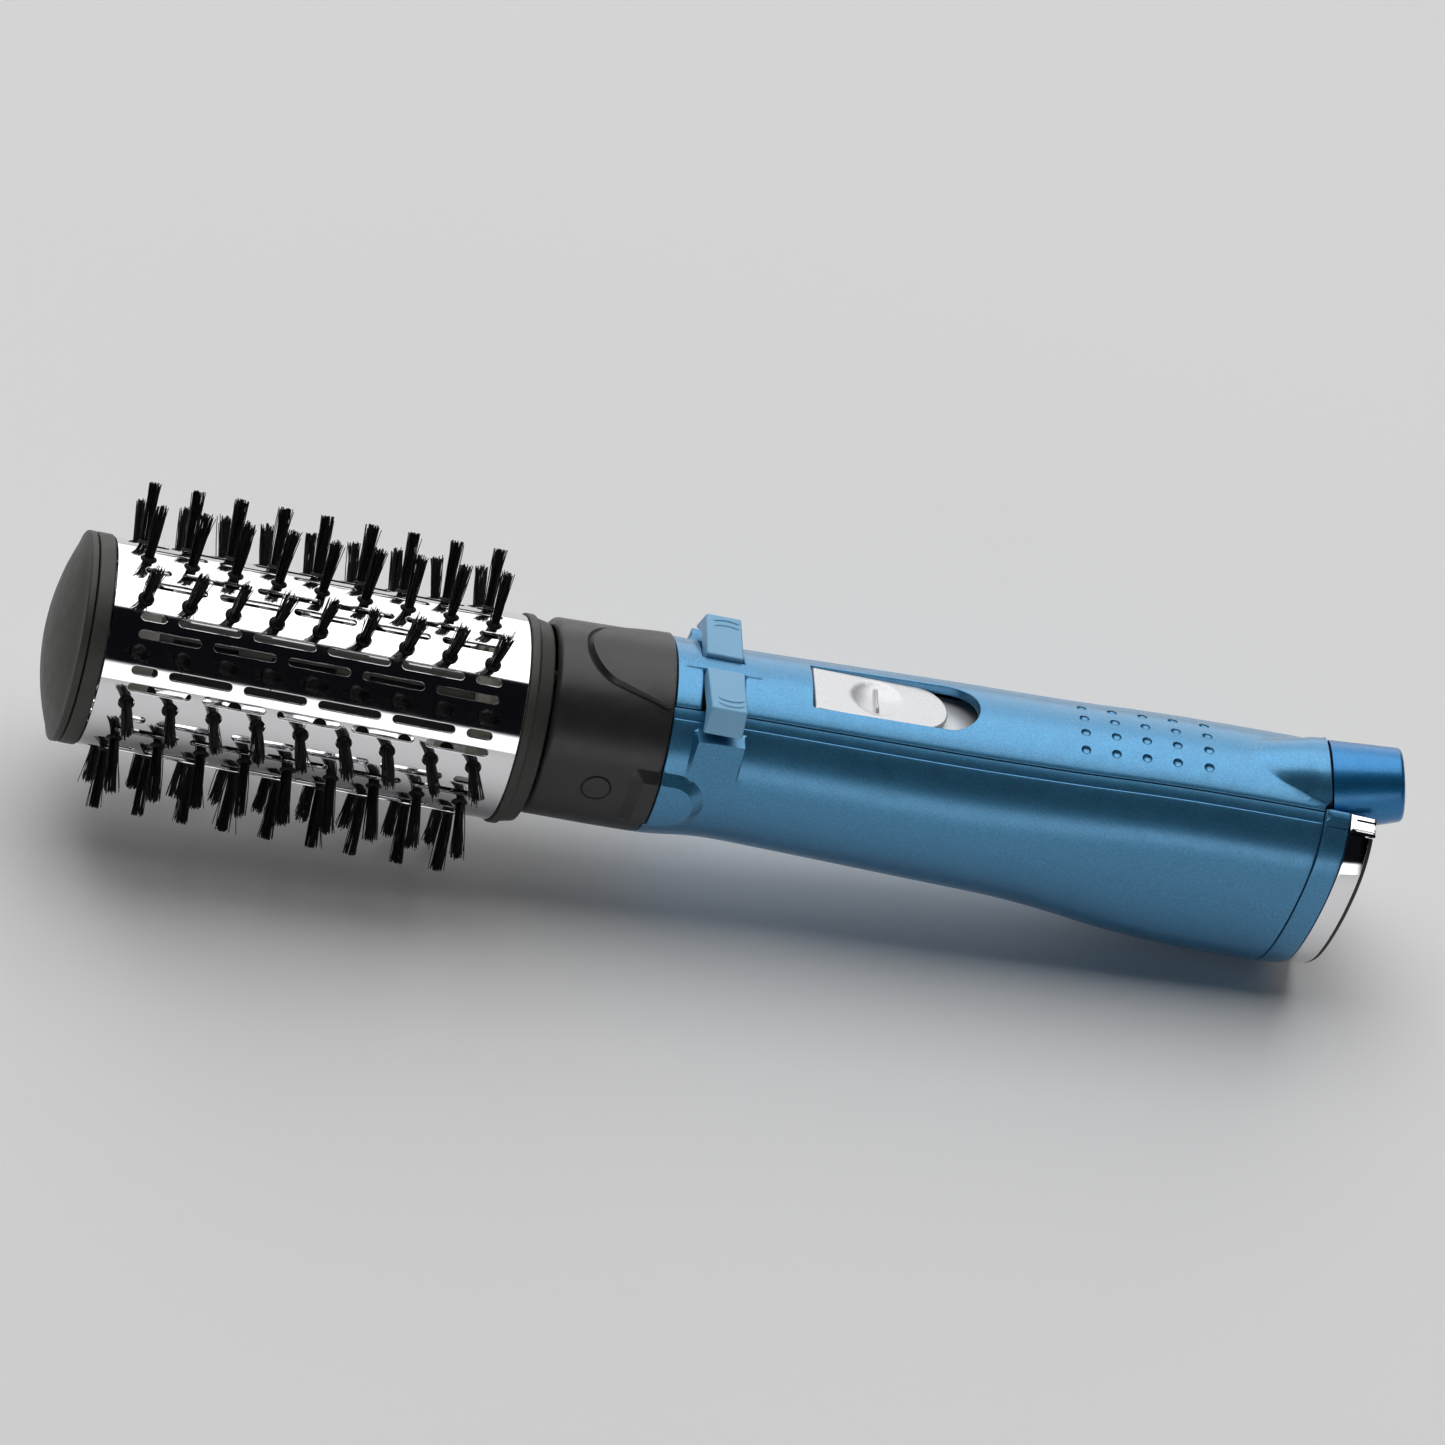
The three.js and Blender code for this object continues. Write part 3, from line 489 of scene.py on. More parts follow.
def node_material(name, colour, roughness, metallic=0.0, **sockets):
    """Principled material and its node tree; sockets set more of the shader's own inputs."""
    material = bpy.data.materials.new(name)
    material.use_nodes = True
    tree = material.node_tree
    shader = tree.nodes["Principled BSDF"]
    set_inputs(shader, {"Base_Color": (*colour, 1), "Roughness": roughness, "Metallic": metallic})
    set_inputs(shader, sockets)
    material.diffuse_color = (*colour, 1)
    return material, tree, shader


def noise(tree, scale, detail, stretch=None):
    """Noise in the piece's own coordinates, in metres."""
    texture = add_node(tree, "TexNoise", Scale=scale, Detail=detail)
    source = add_node(tree, "TexCoord").outputs["Object"]
    if stretch:
        mapping = add_node(tree, "Mapping", Scale=stretch)
        tree.links.new(source, mapping.inputs["Vector"])
        source = mapping.outputs["Vector"]
    tree.links.new(source, texture.inputs["Vector"])
    return texture.outputs["Fac"]


def ramp(tree, source, stops):
    """Colour ramp over the source, from (position, colour) stops."""
    node = add_node(tree, "ValToRGB")
    elements = node.color_ramp.elements
    while len(elements) < len(stops):
        elements.new(0.5)
    for element, (position, colour) in zip(elements, stops):
        element.position = position
        element.color = (*colour, 1)
    tree.links.new(source, node.inputs["Fac"])
    return node.outputs["Color"]


def spread_value(tree, source, low, high, source_low=0.3, source_high=0.7):
    """Source carried from one range to another and kept within it."""
    node = add_node(tree, "MapRange", From_Min=source_low, From_Max=source_high, To_Min=low,
                    To_Max=high)
    tree.links.new(source, node.inputs["Value"])
    return node.outputs["Result"]


def tone(tree, shader, source, stops):
    """Colour that follows the source, from (position, colour) stops."""
    tree.links.new(ramp(tree, source, stops), shader.inputs["Base Color"])


def gloss(tree, shader, source, low, high):
    """Roughness that follows the source between two values."""
    tree.links.new(spread_value(tree, source, low, high), shader.inputs["Roughness"])


def bump(tree, shader, source, strength, distance):
    node = add_node(tree, "Bump", Strength=strength, Distance=distance)
    tree.links.new(source, node.inputs["Height"])
    tree.links.new(node.outputs["Normal"], shader.inputs["Normal"])


def tint(colour, factor):
    return tuple(min(1.0, channel * factor) for channel in colour)


GRAIN_DEPTH = 0.00002


def plastic(name, colour, roughness, grain=9000, variation=0.12):
    """Moulded plastic: fine spark-eroded grain, slight tone change and slightly uneven gloss."""
    material, tree, shader = node_material(name, colour, roughness)
    broad = noise(tree, 60, 4)
    dark, light = tint(colour, 1 - variation), tint(colour, 1 + variation)
    tone(tree, shader, broad, [(0.3, dark), (0.7, light)])
    gloss(tree, shader, noise(tree, 240, 3), roughness - 0.05, roughness + 0.05)
    bump(tree, shader, noise(tree, grain, 2), 0.35, GRAIN_DEPTH)
    return material


def pearl_paint(name, colour, roughness, metallic, flake=2600, coat=0.6):
    """Pearl lacquer: fine flakes that shift in tone under a clear coat."""
    sockets = {"Coat_Weight": coat, "Coat_Roughness": 0.2}
    material, tree, shader = node_material(name, colour, roughness, metallic, **sockets)
    flakes = noise(tree, flake, 1.5)
    dark, light = tint(colour, 0.82), tint(colour, 1.2)
    tone(tree, shader, flakes, [(0.28, dark), (0.5, colour), (0.72, light)])
    gloss(tree, shader, noise(tree, 300, 3), roughness - 0.03, roughness + 0.04)
    bump(tree, shader, flakes, 0.03, 0.00003)
    return material


def mirror_metal(name, colour, roughness):
    """Polished plating with slightly uneven gloss."""
    material, tree, shader = node_material(name, colour, roughness, 1.0)
    gloss(tree, shader, noise(tree, 130, 4), roughness * 0.6, roughness * 1.8)
    return material


def brushed_metal(name, colour, roughness):
    """Metal with fine lines drawn along x."""
    material, tree, shader = node_material(name, colour, roughness, 1.0)
    lines = noise(tree, 900, 2, stretch=(0.05, 1, 1))
    gloss(tree, shader, lines, roughness - 0.08, roughness + 0.12)
    bump(tree, shader, lines, 0.2, GRAIN_DEPTH)
    return material


def nylon(name):
    """Black nylon, greyer in places."""
    colour = (0.004, 0.004, 0.004)
    material, tree, shader = node_material(name, colour, 0.5, Specular_IOR_Level=0.22)
    stops = [(0.35, (0.002, 0.002, 0.002)), (0.75, (0.016, 0.016, 0.017))]
    tone(tree, shader, noise(tree, 1500, 2), stops)
    return material


MATERIALS = {
    "barrel_chrome": mirror_metal("barrel_mirror", (0.86, 0.86, 0.875), 0.045),
    "rim_chrome": mirror_metal("rim_mirror", (0.9, 0.9, 0.91), 0.035),
    "bristle_nylon": nylon("bristle_nylon"),
    "cap_plastic": plastic("cap_plastic", (0.038, 0.037, 0.033), 0.5, grain=6000),
    "collar_plastic": plastic("collar_plastic", (0.022, 0.022, 0.022), 0.34, grain=7000),
    "pearl_blue": pearl_paint("pearl_blue", (0.062, 0.25, 0.45), 0.32, 0.72),
    "button_blue": plastic("button_blue", (0.22, 0.5, 0.76), 0.4, grain=5000, variation=0.04),
    "swivel_blue": pearl_paint("swivel_blue", (0.015, 0.18, 0.42), 0.36, 0.75, coat=0.5),
    "switch_silver": pearl_paint("switch_silver", (0.74, 0.745, 0.76), 0.3, 0.35, 7000, coat=0.3),
    "inner_black": plastic("inner_black", (0.02, 0.02, 0.02), 0.55),
    "acetal": plastic("acetal", (0.72, 0.7, 0.62), 0.4, variation=0.05),
    "steel": brushed_metal("steel", (0.52, 0.52, 0.54), 0.3),
    "mica": plastic("mica", (0.45, 0.38, 0.24), 0.6, grain=1500),
    "heating_wire": brushed_metal("heating_wire", (0.3, 0.27, 0.25), 0.4),
    "board_green": plastic("board_green", (0.02, 0.14, 0.06), 0.35, grain=1200),
}


def dress_cad_nodes():
    """Gives every CAD node the material of its slot."""
    for subpart in frame["record"]["subparts"]:
        mesh = frame["nodes"][subpart["node"]].data
        mesh.materials.clear()
        mesh.materials.append(MATERIALS[subpart["material_slot"]])


# ---------- rotating brush ----------
ROW_ANGLES = [FIRST_ROW_ANGLE + index * ROW_STEP for index in range(ROWS)]
TUFT_PLACES = [BARREL_START + FIRST_TUFT + index * TUFT_PITCH for index in range(TUFTS_PER_ROW)]
STRANDS_PER_TUFT = 62
STRAND_RADIUS = 0.17
ROOT_RADIUS = 22.6


def stadium(x, length, centre):
    """Slot outline with round ends along x, anticlockwise."""
    half = SLOT_WIDTH / 2
    right = half_circle(x + length - half, centre, half, 7)
    left = half_circle(x + half, centre, -half, 7)
    return resample(right + left, 2.4)


def circle(x, s, radius, points=20):
    turn = np.linspace(0, 2 * math.pi, points, endpoint=False)
    return np.stack([x + radius * np.cos(turn), s + radius * np.sin(turn)], -1)


def barrel_sector():
    """Flat drawing of one sector of the barrel, centred on its tuft row."""
    wide = math.radians(SLOT_STEP) * BARREL_RADIUS
    first, last = BARREL_START + SLOT_MARGIN, BARREL_END - LAST_SLOT_MARGIN
    holes = []
    for index in range(SLOTS_PER_ROW):
        holes.append(stadium(first + index * SLOT_PITCH, SLOT_LENGTH, -wide))
    for index in range(SLOTS_PER_ROW - 1):
        holes.append(stadium(first + (index + 0.5) * SLOT_PITCH, SLOT_LENGTH, wide))
    holes.append(stadium(first, SHORT_SLOT_LENGTH, wide))
    holes.append(stadium(last - SHORT_SLOT_LENGTH, SHORT_SLOT_LENGTH, wide))
    holes += [circle(x, 0, TUFT_HOLE_RADIUS) for x in TUFT_PLACES]
    edge = math.radians(ROW_STEP / 2) * BARREL_RADIUS
    rim = box(BARREL_START, BARREL_END, -edge, edge, 2.0)
    lip = 0.22
    lines = [(offset_loop(hole, -lip * share), True) for hole in holes for share in (0.5, 1.0)]
    flat, faces = triangulate(rim, holes, lines, (2.2, 1.1), keep_clear=0.35)
    edges = np.vstack([segments_of(hole) for hole in holes])
    gap = distance_to(flat, edges)
    return flat, faces, lip_inset(gap, lip), gap > lip * 0.99


def wrapped(flat, inset, turn):
    """Flat barrel drawing wrapped round the axis."""
    angle = flat[:, 1] / BARREL_RADIUS + math.radians(turn)
    radius = BARREL_RADIUS - inset
    return np.stack([flat[:, 0], -radius * np.sin(angle), radius * np.cos(angle)], -1)


def barrel():
    """Slotted mirror tube with true round-ended slots and tuft holes."""
    flat, triangles, inset, plain = barrel_sector()
    count = len(flat)
    outer = np.vstack([wrapped(flat, inset, turn) for turn in ROW_ANGLES])
    inner = np.vstack([wrapped(flat, BARREL_WALL, turn) for turn in ROW_ANGLES])
    triangles = np.vstack([triangles + index * count for index in range(ROWS)])
    exact = np.concatenate([plain] * ROWS + [np.zeros(count * ROWS, bool)])
    points, faces, used = closed_wall(outer, inner, triangles)
    piece = solid("barrel_tube", points, faces, "brush", "barrel_chrome", "barrel", smooth_angle=40)
    true_normals(piece.data, points, exact[used])


def true_normals(mesh, points, exact):
    """Sets exact cylinder normals where the outer surface is plain, for clean reflections."""
    radial = points.copy()
    radial[:, 0] = 0
    radial /= np.linalg.norm(radial, axis=1)[:, None]
    radial = radial @ BRUSH_TO_ROW
    normals = np.array([corner.vector for corner in mesh.corner_normals])
    corner_vertex = np.array([loop.vertex_index for loop in mesh.loops])
    close = (normals * radial[corner_vertex]).sum(1) > 0.9
    chosen = exact[corner_vertex] & close
    normals[chosen] = radial[corner_vertex[chosen]]
    mesh.normals_split_custom_set(normals.tolist())


def strand_paths(random, x):
    """Paths of one tuft's strands as (x, sideways, radius) offsets from the row line."""
    count = STRANDS_PER_TUFT
    turn = random.uniform(0, 2 * math.pi, count)
    reach = np.sqrt(random.uniform(0, 1, count))
    base = np.stack([reach * np.cos(turn), reach * np.sin(turn)], -1)
    lean = random.normal(0, 0.3, 2)
    tip = base * random.uniform(1.2, 1.8, (count, 1)) + random.normal(0, 0.22, (count, 2)) + lean
    stray = random.uniform(0, 1, count) < 0.09
    tip[stray] += random.normal(0, 0.85, (stray.sum(), 2))
    bow = random.normal(0, 0.2, (count, 2))
    height = TIP_RADIUS - 0.15 - np.abs(random.normal(0, 0.65, count))
    t = np.linspace(0, 1, 6)[None, :, None]
    sideways = base[:, None] + (tip - base)[:, None] * t**1.25 + bow[:, None] * 4 * t * (1 - t)
    radius = ROOT_RADIUS + (height[:, None, None] - ROOT_RADIUS) * t
    path = np.concatenate([sideways[..., :1] + x, sideways[..., 1:], radius], -1)
    far = np.hypot(path[..., 1], path[..., 2])
    path[..., 2] *= np.minimum(1, TIP_RADIUS / far)
    return path


def strand_mesh(paths):
    """Thin three-sided strands along the paths, a little thinner at their tips."""
    strands, steps = paths.shape[:2]
    thickness = STRAND_RADIUS * np.linspace(1, 0.72, steps)
    turn = np.arange(3) * 2 * math.pi / 3
    around = np.stack([np.cos(turn), np.sin(turn), np.zeros(3)], -1)
    points = paths[:, :, None, :] + around[None, None] * thickness[None, :, None, None]
    points = points.reshape(-1, 3)
    faces = []
    for strand in range(strands):
        start = strand * steps * 3
        faces += [tuple(start + v for v in face) for face in capped_faces(steps, 3)]
    return points, faces


def tuft_plug(x):
    """Moulded root of a tuft: a low dome that fills its hole in the barrel."""
    profile = [(21.5, 1.75), (24.9, 1.75), (25.35, 1.5), (25.6, 0.9)]
    sides, foot, summit = 16, 21.5, 25.68
    points = [(x, 0, foot)]
    for height, radius in profile:
        points += [(x + dx, dy, height) for dx, dy in circle(0, 0, radius, sides)]
    points.append((x, 0, summit))
    faces = []
    for j in range(sides):
        k = (j + 1) % sides
        faces.append((0, 1 + k, 1 + j))
        for level in range(len(profile) - 1):
            low, high = 1 + level * sides, 1 + (level + 1) * sides
            faces.append((low + j, low + k, high + k, high + j))
        faces.append((high + j, high + k, len(points) - 1))
    return np.array(points), faces


def bristle_row(number, angle):
    """One row of tufts."""
    random = np.random.default_rng(100 + number)
    points, faces, count = [], [], 0
    for x in TUFT_PLACES:
        for part, part_faces in (strand_mesh(strand_paths(random, x)), tuft_plug(x)):
            points.append(part)
            faces += [tuple(v + count for v in face) for face in part_faces]
            count += len(part)
    local = np.vstack(points)
    turn = math.radians(angle)
    y = -local[:, 2] * math.sin(turn) + local[:, 1] * math.cos(turn)
    z = local[:, 2] * math.cos(turn) + local[:, 1] * math.sin(turn)
    placed = np.stack([local[:, 0], y, z], -1)
    piece = new_object(f"bristles_{number:02d}", to_row(placed), faces, 50)
    place(piece, "brush", "bristle_nylon", f"bristle_row_{number:02d}")


def end_cap():
    """Domed cap with a rounded shoulder."""
    rim_x, rim_r, sagitta = -164.2, 24.0, 5.2
    sphere = (rim_r**2 + sagitta**2) / (2 * sagitta)
    dome = []
    for r in np.linspace(0, rim_r, 24):
        dome.append((rim_x - sagitta + sphere - math.sqrt(sphere**2 - r**2), r))
    shoulder = soften([(rim_x, rim_r), (-163.9, 25.5), (-162.2, 25.5), (-162.2, 23)],
                      [0.35, 0.55, 0.25, 0], closed=False)
    back = [(-161.6, 23), (-161.6, 6), (-155.2, 6), (-155.2, 3.4), (-163, 3.4), (-163, 0)]
    profile = dome[:-1] + shoulder + back
    spun("cap_dome", profile, 160, "brush", "cap_plastic", "end_cap")


def cap_ring():
    profile = soften([(-161.9, 23.4), (-161.9, 25.5), (-157.9, 25.5), (-157.9, 23.4)],
                     [0, 0.55, 0.5, 0])
    spun("cap_rim", profile, 160, "brush", "cap_plastic", "cap_ring")


def rear_ring():
    profile = soften([(-56.4, 24.3), (-56.4, 25.6), (-54.3, 25.6), (-54.0, 25.0), (-50.3, 24.2),
                      (-50.3, 22), (-53.7, 22), (-53.7, 24.3)],
                     [0, 0.35, 0.4, 0.3, 0.5, 0, 0, 0])
    spun("barrel_rear_ring", profile, 160, "brush", "cap_plastic", "rear_ring")


# ---------- relief of the handle ----------
PAD_START, PAD_END, PAD_HALF, PAD_CENTRE = -27.8, -8.9, 9.1, 94.0
PAD_HEIGHT, PAD_BEVEL = 1.7, 2.7


def pad_distance(x, s):
    """Signed distance to the side pad's outline, negative inside: square front, round rear."""
    centre_x = PAD_END - PAD_HALF
    across = np.abs(s - arc(PAD_CENTRE))
    round_end = np.hypot(np.maximum(x - centre_x, 0), across) - PAD_HALF
    return np.maximum(round_end, PAD_START - x)


def pad_relief(x, degrees):
    """Raised pad with bevelled edges on both sides of the handle."""
    depth = -pad_distance(x, arc(fold(degrees)))
    return np.clip(depth * PAD_HEIGHT / PAD_BEVEL, 0, PAD_HEIGHT)


def pad_line(margin, x_low, x_high, side):
    """Feature line of the pad moved in by the margin, cut off at x_low or x_high."""
    half = PAD_HALF - margin
    centre_x = PAD_END - PAD_HALF
    centre = arc(PAD_CENTRE) if side > 0 else arc(360 - PAD_CENTRE)
    start = max(PAD_START + margin, x_low)
    if x_high < centre_x:
        loop = [(x_high, centre - half), (start, centre - half), (start, centre + half),
                (x_high, centre + half)]
    else:
        rear = half_circle(centre_x, centre, half, 22)
        loop = [(start, centre - half)] + rear + [(start, centre + half)]
    return resample(loop, 1.2, closed=False)[1:-1], False


SHOULDER_TOP, SHOULDER_CREST, FACET_RADIUS, FACET_ANGLE = 16.6, 21.1, 23.4, 81.2
SHOULDER_START, SHOULDER_END = -15.6, -2.7
FRONT_SLOPE, REAR_SLOPE = 4, 6


def shoulder_relief(x, degrees):
    """Faceted shoulder under each rotation button."""
    folded = fold(degrees)
    top = SHOULDER_TOP / np.cos(np.radians(np.clip(folded, 0, 80)))
    facet = FACET_RADIUS / np.cos(np.radians(np.clip(FACET_ANGLE - folded, -70, 70)))
    rise = np.where((folded > 41) & (folded < FACET_ANGLE), np.minimum(top, facet) - FACET_RADIUS, 0)
    ends = np.minimum((x - SHOULDER_START) * FRONT_SLOPE, (SHOULDER_END - x) * REAR_SLOPE)
    return np.clip(np.minimum(rise, ends), 0, 4)


def shell_relief(x, degrees):
    return np.maximum(pad_relief(x, degrees), shoulder_relief(x, degrees))


TONGUE_TIP, TONGUE_HEIGHT, TONGUE_GROOVE = -42.3, 0.65, 0.45


def tongue_half(x):
    """Half width of the thumb tongue, in arc millimetres: a round tip, then a slow widening."""
    run = np.maximum(np.asarray(x, float) - TONGUE_TIP, 0)
    tip = 1 - np.minimum(run / 7, 1)
    return 8.1 * np.sqrt(1 - tip * tip) + 0.35 * run


def tongue_loop(margin):
    x = TONGUE_TIP + margin + (COLLAR_END - TONGUE_TIP - margin) * np.linspace(0, 1, 26) ** 1.7
    stretch = (x - TONGUE_TIP - margin) / (COLLAR_END - TONGUE_TIP - margin)
    source = TONGUE_TIP + stretch * (COLLAR_END - TONGUE_TIP)
    half = np.maximum(tongue_half(source) - margin, 0)
    upper = np.stack([x, half], -1)[::-1]
    lower = np.stack([x, -half], -1)
    return np.vstack([upper, lower[1:]])


COLLAR_ROUNDING = 1.5
MARK_X, MARK_RADIUS, MARK_HALF_WIDTH, MARK_DEPTH = -35.4, 3.5, 0.28, 0.28


def mark_relief(x, degrees):
    """Engraved ring on each side of the collar."""
    s = arc(fold(degrees))
    gap = np.abs(np.hypot(x - MARK_X, s - arc(90)) - MARK_RADIUS)
    return -MARK_DEPTH * np.clip(1 - gap / MARK_HALF_WIDTH, 0, 1)


def collar():
    """Satin black collar: thumb tongue on top, pads and an engraved ring on the sides."""
    edge = arc(180)
    rim = box(COLLAR_START, COLLAR_END, -edge, edge, 2.0)
    tongue_edges = segments_of(tongue_loop(0), False)
    lines = [(tongue_loop(margin)[1:-1], False) for margin in (-0.9, -0.35, 0, 0.45)]
    for side in (1, -1):
        for margin in (0, PAD_BEVEL):
            line, closed = pad_line(margin, COLLAR_START, COLLAR_END, side)
            lines.append((line - [0, arc(360) if side < 0 else 0], closed))
        for radius in (MARK_RADIUS - MARK_HALF_WIDTH, MARK_RADIUS, MARK_RADIUS + MARK_HALF_WIDTH):
            lines.append((circle(MARK_X, side * arc(90), radius, 40), True))
    rear_end = segments_of([(COLLAR_END, -edge), (COLLAR_END, edge)], False)
    for x, size in ((COLLAR_START, COLLAR_ROUNDING), (COLLAR_END, -LIP)):
        for share in LIP_SHARES:
            along = x + share * size
            lines.append(straight((along, -edge + 0.5), (along, edge - 0.5), 2.0))

    def relief(x, degrees):
        flat = np.stack([x, arc(degrees)], -1)
        depth = distance_to(flat, tongue_edges)
        within = np.abs(flat[:, 1]) < tongue_half(x)
        within &= x > TONGUE_TIP
        groove = np.clip(np.minimum((depth - 0.01) / 0.34, (0.9 - depth) / 0.54), 0, 1)
        tongue = np.where(within, np.clip(depth / 0.45, 0, 1) * TONGUE_HEIGHT, -TONGUE_GROOVE * groove)
        front = lip_inset(x - COLLAR_START, COLLAR_ROUNDING)
        return tongue + pad_relief(x, degrees) + mark_relief(x, degrees) - front

    handle_shell("collar_shell", "handle", "collar_plastic", "collar", rim, [], lines, relief,
                 (1.5, 1.6), edges=rear_end)


def shoulder_lines(side):
    """Feature lines of a button shoulder: its end walls and its upper edge."""
    crest = arc(np.degrees(math.atan2(SHOULDER_CREST, SHOULDER_TOP)))
    front, rear = SHOULDER_START + 0.86, SHOULDER_END - 0.58
    lines = [straight((x, arc(42.4)), (x, arc(FACET_ANGLE)), 0.8)
             for x in (SHOULDER_START, front, rear, SHOULDER_END)]
    lines.append(straight((front + 0.1, crest), (rear - 0.1, crest), 0.8))
    if side < 0:
        lines = [(line * [1, -1] + [0, arc(360)], closed) for line, closed in lines]
    return lines


def main_shell():
    """Lower handle shell from strip to strip, with side pads and button shoulders."""
    rim = box(SHELL_START, SHELL_END, arc(SHELL_ANGLE), arc(360 - SHELL_ANGLE), 1.5)
    lines = lip_lines(rim, LIP)
    for side in (1, -1):
        for margin in (0, PAD_BEVEL):
            lines.append(pad_line(margin, SHELL_START, SHELL_END, side))
        lines += shoulder_lines(side)
    handle_shell("handle_shell", "handle", "pearl_blue", "main_shell", rim, [], lines,
                 shell_relief, (2.2, 2.0))


DIMPLE_RADIUS, DIMPLE_DEPTH, FIRST_DIMPLE, DIMPLE_PITCH = 1.25, 0.7, 80.4, 7.6
TAB_HALF, TAB_FRONT, TAB_REAR, TAB_HEIGHT = 2.3, -19.2, 0.1, 0.3


def dimple_centres():
    """Five columns of four dimples."""
    angles = (-18.6, -6.2, 6.2, 18.6)
    return [(FIRST_DIMPLE + DIMPLE_PITCH * column, arc(angle))
            for column in range(5) for angle in angles]


def cover_relief(x, degrees):
    """Grip dimples and the raised bar between the rotation buttons."""
    s = arc(degrees)
    height = np.zeros(len(x))
    for centre_x, centre_s in dimple_centres():
        gap = np.hypot(x - centre_x, s - centre_s) / DIMPLE_RADIUS
        height -= DIMPLE_DEPTH * np.sqrt(np.clip(1 - gap * gap, 0, 1))
    bar = np.minimum(TAB_HALF - np.abs(s), np.minimum(TAB_REAR - x, x - TAB_FRONT))
    return height + TAB_HEIGHT * np.clip(bar / 0.15, 0, 1)


FAIRING_FALL, FAIRING_FALL_LENGTH, FAIRING_BLEND = 0.5, 2, 0.3


def fairing_height(x, y):
    """Height of the swivel's fairing, and a depth below the handle where there is none."""
    width = FAIRING_RADIUS + 1.2 * smoothstep(x, 132, 142)
    across = np.clip(1 - (y / width) ** 2, 0, 1)
    rise = (x - CONE_BASE[0]) * math.tan(CONE_TILT)
    near_end = np.clip((x - SHELL_END + FAIRING_FALL_LENGTH) / FAIRING_FALL_LENGTH, 0, 1)
    rise = rise - FAIRING_FALL * near_end**2
    height = CONE_BASE[2] + rise + FAIRING_RADIUS * np.sqrt(across) / math.cos(CONE_TILT)
    return np.where((across > 0) & (x > 115), height, -100)


def fairing(placed, flat):
    """Raises the cover into the cord swivel's fairing, with a small fillet at its foot."""
    x, y, z = placed.T
    hump = fairing_height(x, y)
    mix = np.clip(0.5 + 0.5 * (hump - z) / FAIRING_BLEND, 0, 1)
    raised = z * (1 - mix) + hump * mix + FAIRING_BLEND * mix * (1 - mix)
    degrees = np.abs(degrees_of(flat[:, 1]))
    height = z + np.maximum(raised - z, 0) * smoothstep(COVER_ANGLE - degrees, 0, 1.2)
    cone_face = CONE_BASE[0] - 0.35 - (height - CONE_BASE[2]) * math.tan(CONE_TILT)
    panel_end = SHELL_END + TAIL_SLANT * (height - TAIL_SLANT_HEIGHT)
    share = smoothstep(flat[:, 0], 128, SHELL_END) * (1 - smoothstep(degrees, 27, 31))
    return np.stack([x + (cone_face - panel_end) * share, y, height], -1)


def fairing_foot(shift):
    """Line where the fairing leaves the cover, moved outwards by the shift."""
    degrees = np.linspace(0, 32, 641)
    line = []
    for x in np.arange(122.6, SHELL_END - 0.8, 0.8):
        points = handle_point(np.full(len(degrees), x), degrees, 0)
        above = np.nonzero(fairing_height(points[:, 0], points[:, 1]) > points[:, 2])[0]
        if len(above):
            line.append((x, arc(degrees[above[-1]]) + shift))
    line = np.array(line)
    return np.vstack([line[::-1], line[1:] * [1, -1]])


def cover_window():
    """Switch window outline: square front, round rear, clockwise as a hole."""
    half = math.asin(WINDOW_HALF / 24.2) * ARC_RADIUS
    rear = half_circle(WINDOW_END - half, 0, half, 26)
    front = [(WINDOW_START, half - 0.4), (WINDOW_START + 0.4, half)]
    loop = [(WINDOW_START + 0.4, -half)] + rear + front[::-1] + [(WINDOW_START, -half + 0.4)]
    return resample(loop, 1.0)


def cover_rim():
    edge = arc(COVER_ANGLE)
    inner = 2.45
    pocket_start, pocket_end = BUTTON_START - 0.15, BUTTON_END + 0.3
    loop = [(SHELL_START, -edge), (pocket_start, -edge), (pocket_start, -inner),
            (pocket_end, -inner), (pocket_end, -edge), (SHELL_END, -edge), (SHELL_END, edge),
            (pocket_end, edge), (pocket_end, inner), (pocket_start, inner), (pocket_start, edge),
            (SHELL_START, edge)]
    return resample(loop, 1.2)


def top_cover():
    """Upper handle shell with the switch window, dimples and the swivel fairing."""
    rim, window = cover_rim(), cover_window()
    lines = lip_lines(rim, LIP) + lip_lines(window, 0.5, -1)
    for x, s in dimple_centres():
        for share in (1.0, 0.93, 0.75, 0.45):
            lines.append((circle(x, s, DIMPLE_RADIUS * share, 18), True))
    for shift in (-0.3, 0, 0.3):
        lines.append((fairing_foot(shift), False))
    for ends in ((TAB_FRONT, BUTTON_START - 0.9), (BUTTON_END + 0.9, TAB_REAR)):
        for side in (-TAB_HALF, TAB_HALF):
            for margin in (0, 0.15):
                s = side * (1 - margin / TAB_HALF)
                lines.append(straight((ends[0], s), (ends[1], s), 0.8))
    handle_shell("handle_cover", "handle", "pearl_blue", "top_cover", rim, [window], lines,
                 cover_relief, (1.3, 1.2), bend=fairing)


def swept(name, rings, body, slot, *nodes):
    """Closed bar through outlines on the handle's surface."""
    faces = capped_faces(len(rings), len(rings[0]))
    solid(name, np.vstack(rings), faces, body, slot, *nodes)


def trim_strips():
    for name, sign in (("left", 1), ("right", -1)):
        a, b = sign * arc(STRIP_START), sign * arc(STRIP_END)
        profile = soften([(a, 2.1), (a, 0.55), (b, 0.55), (b, 2.1)], [0, 0.2, 0.2, 0])
        s, inset = np.transpose(profile)
        rings = [handle_point(np.full(len(s), x), degrees_of(s), inset)
                 for x in np.linspace(SHELL_START, SHELL_END, 90)]
        swept(f"trim_{name}", rings, "handle", "pearl_blue", f"trim_strip_{name}")


BAND_CREST, BAND_FOOT = 35.5, 40.8


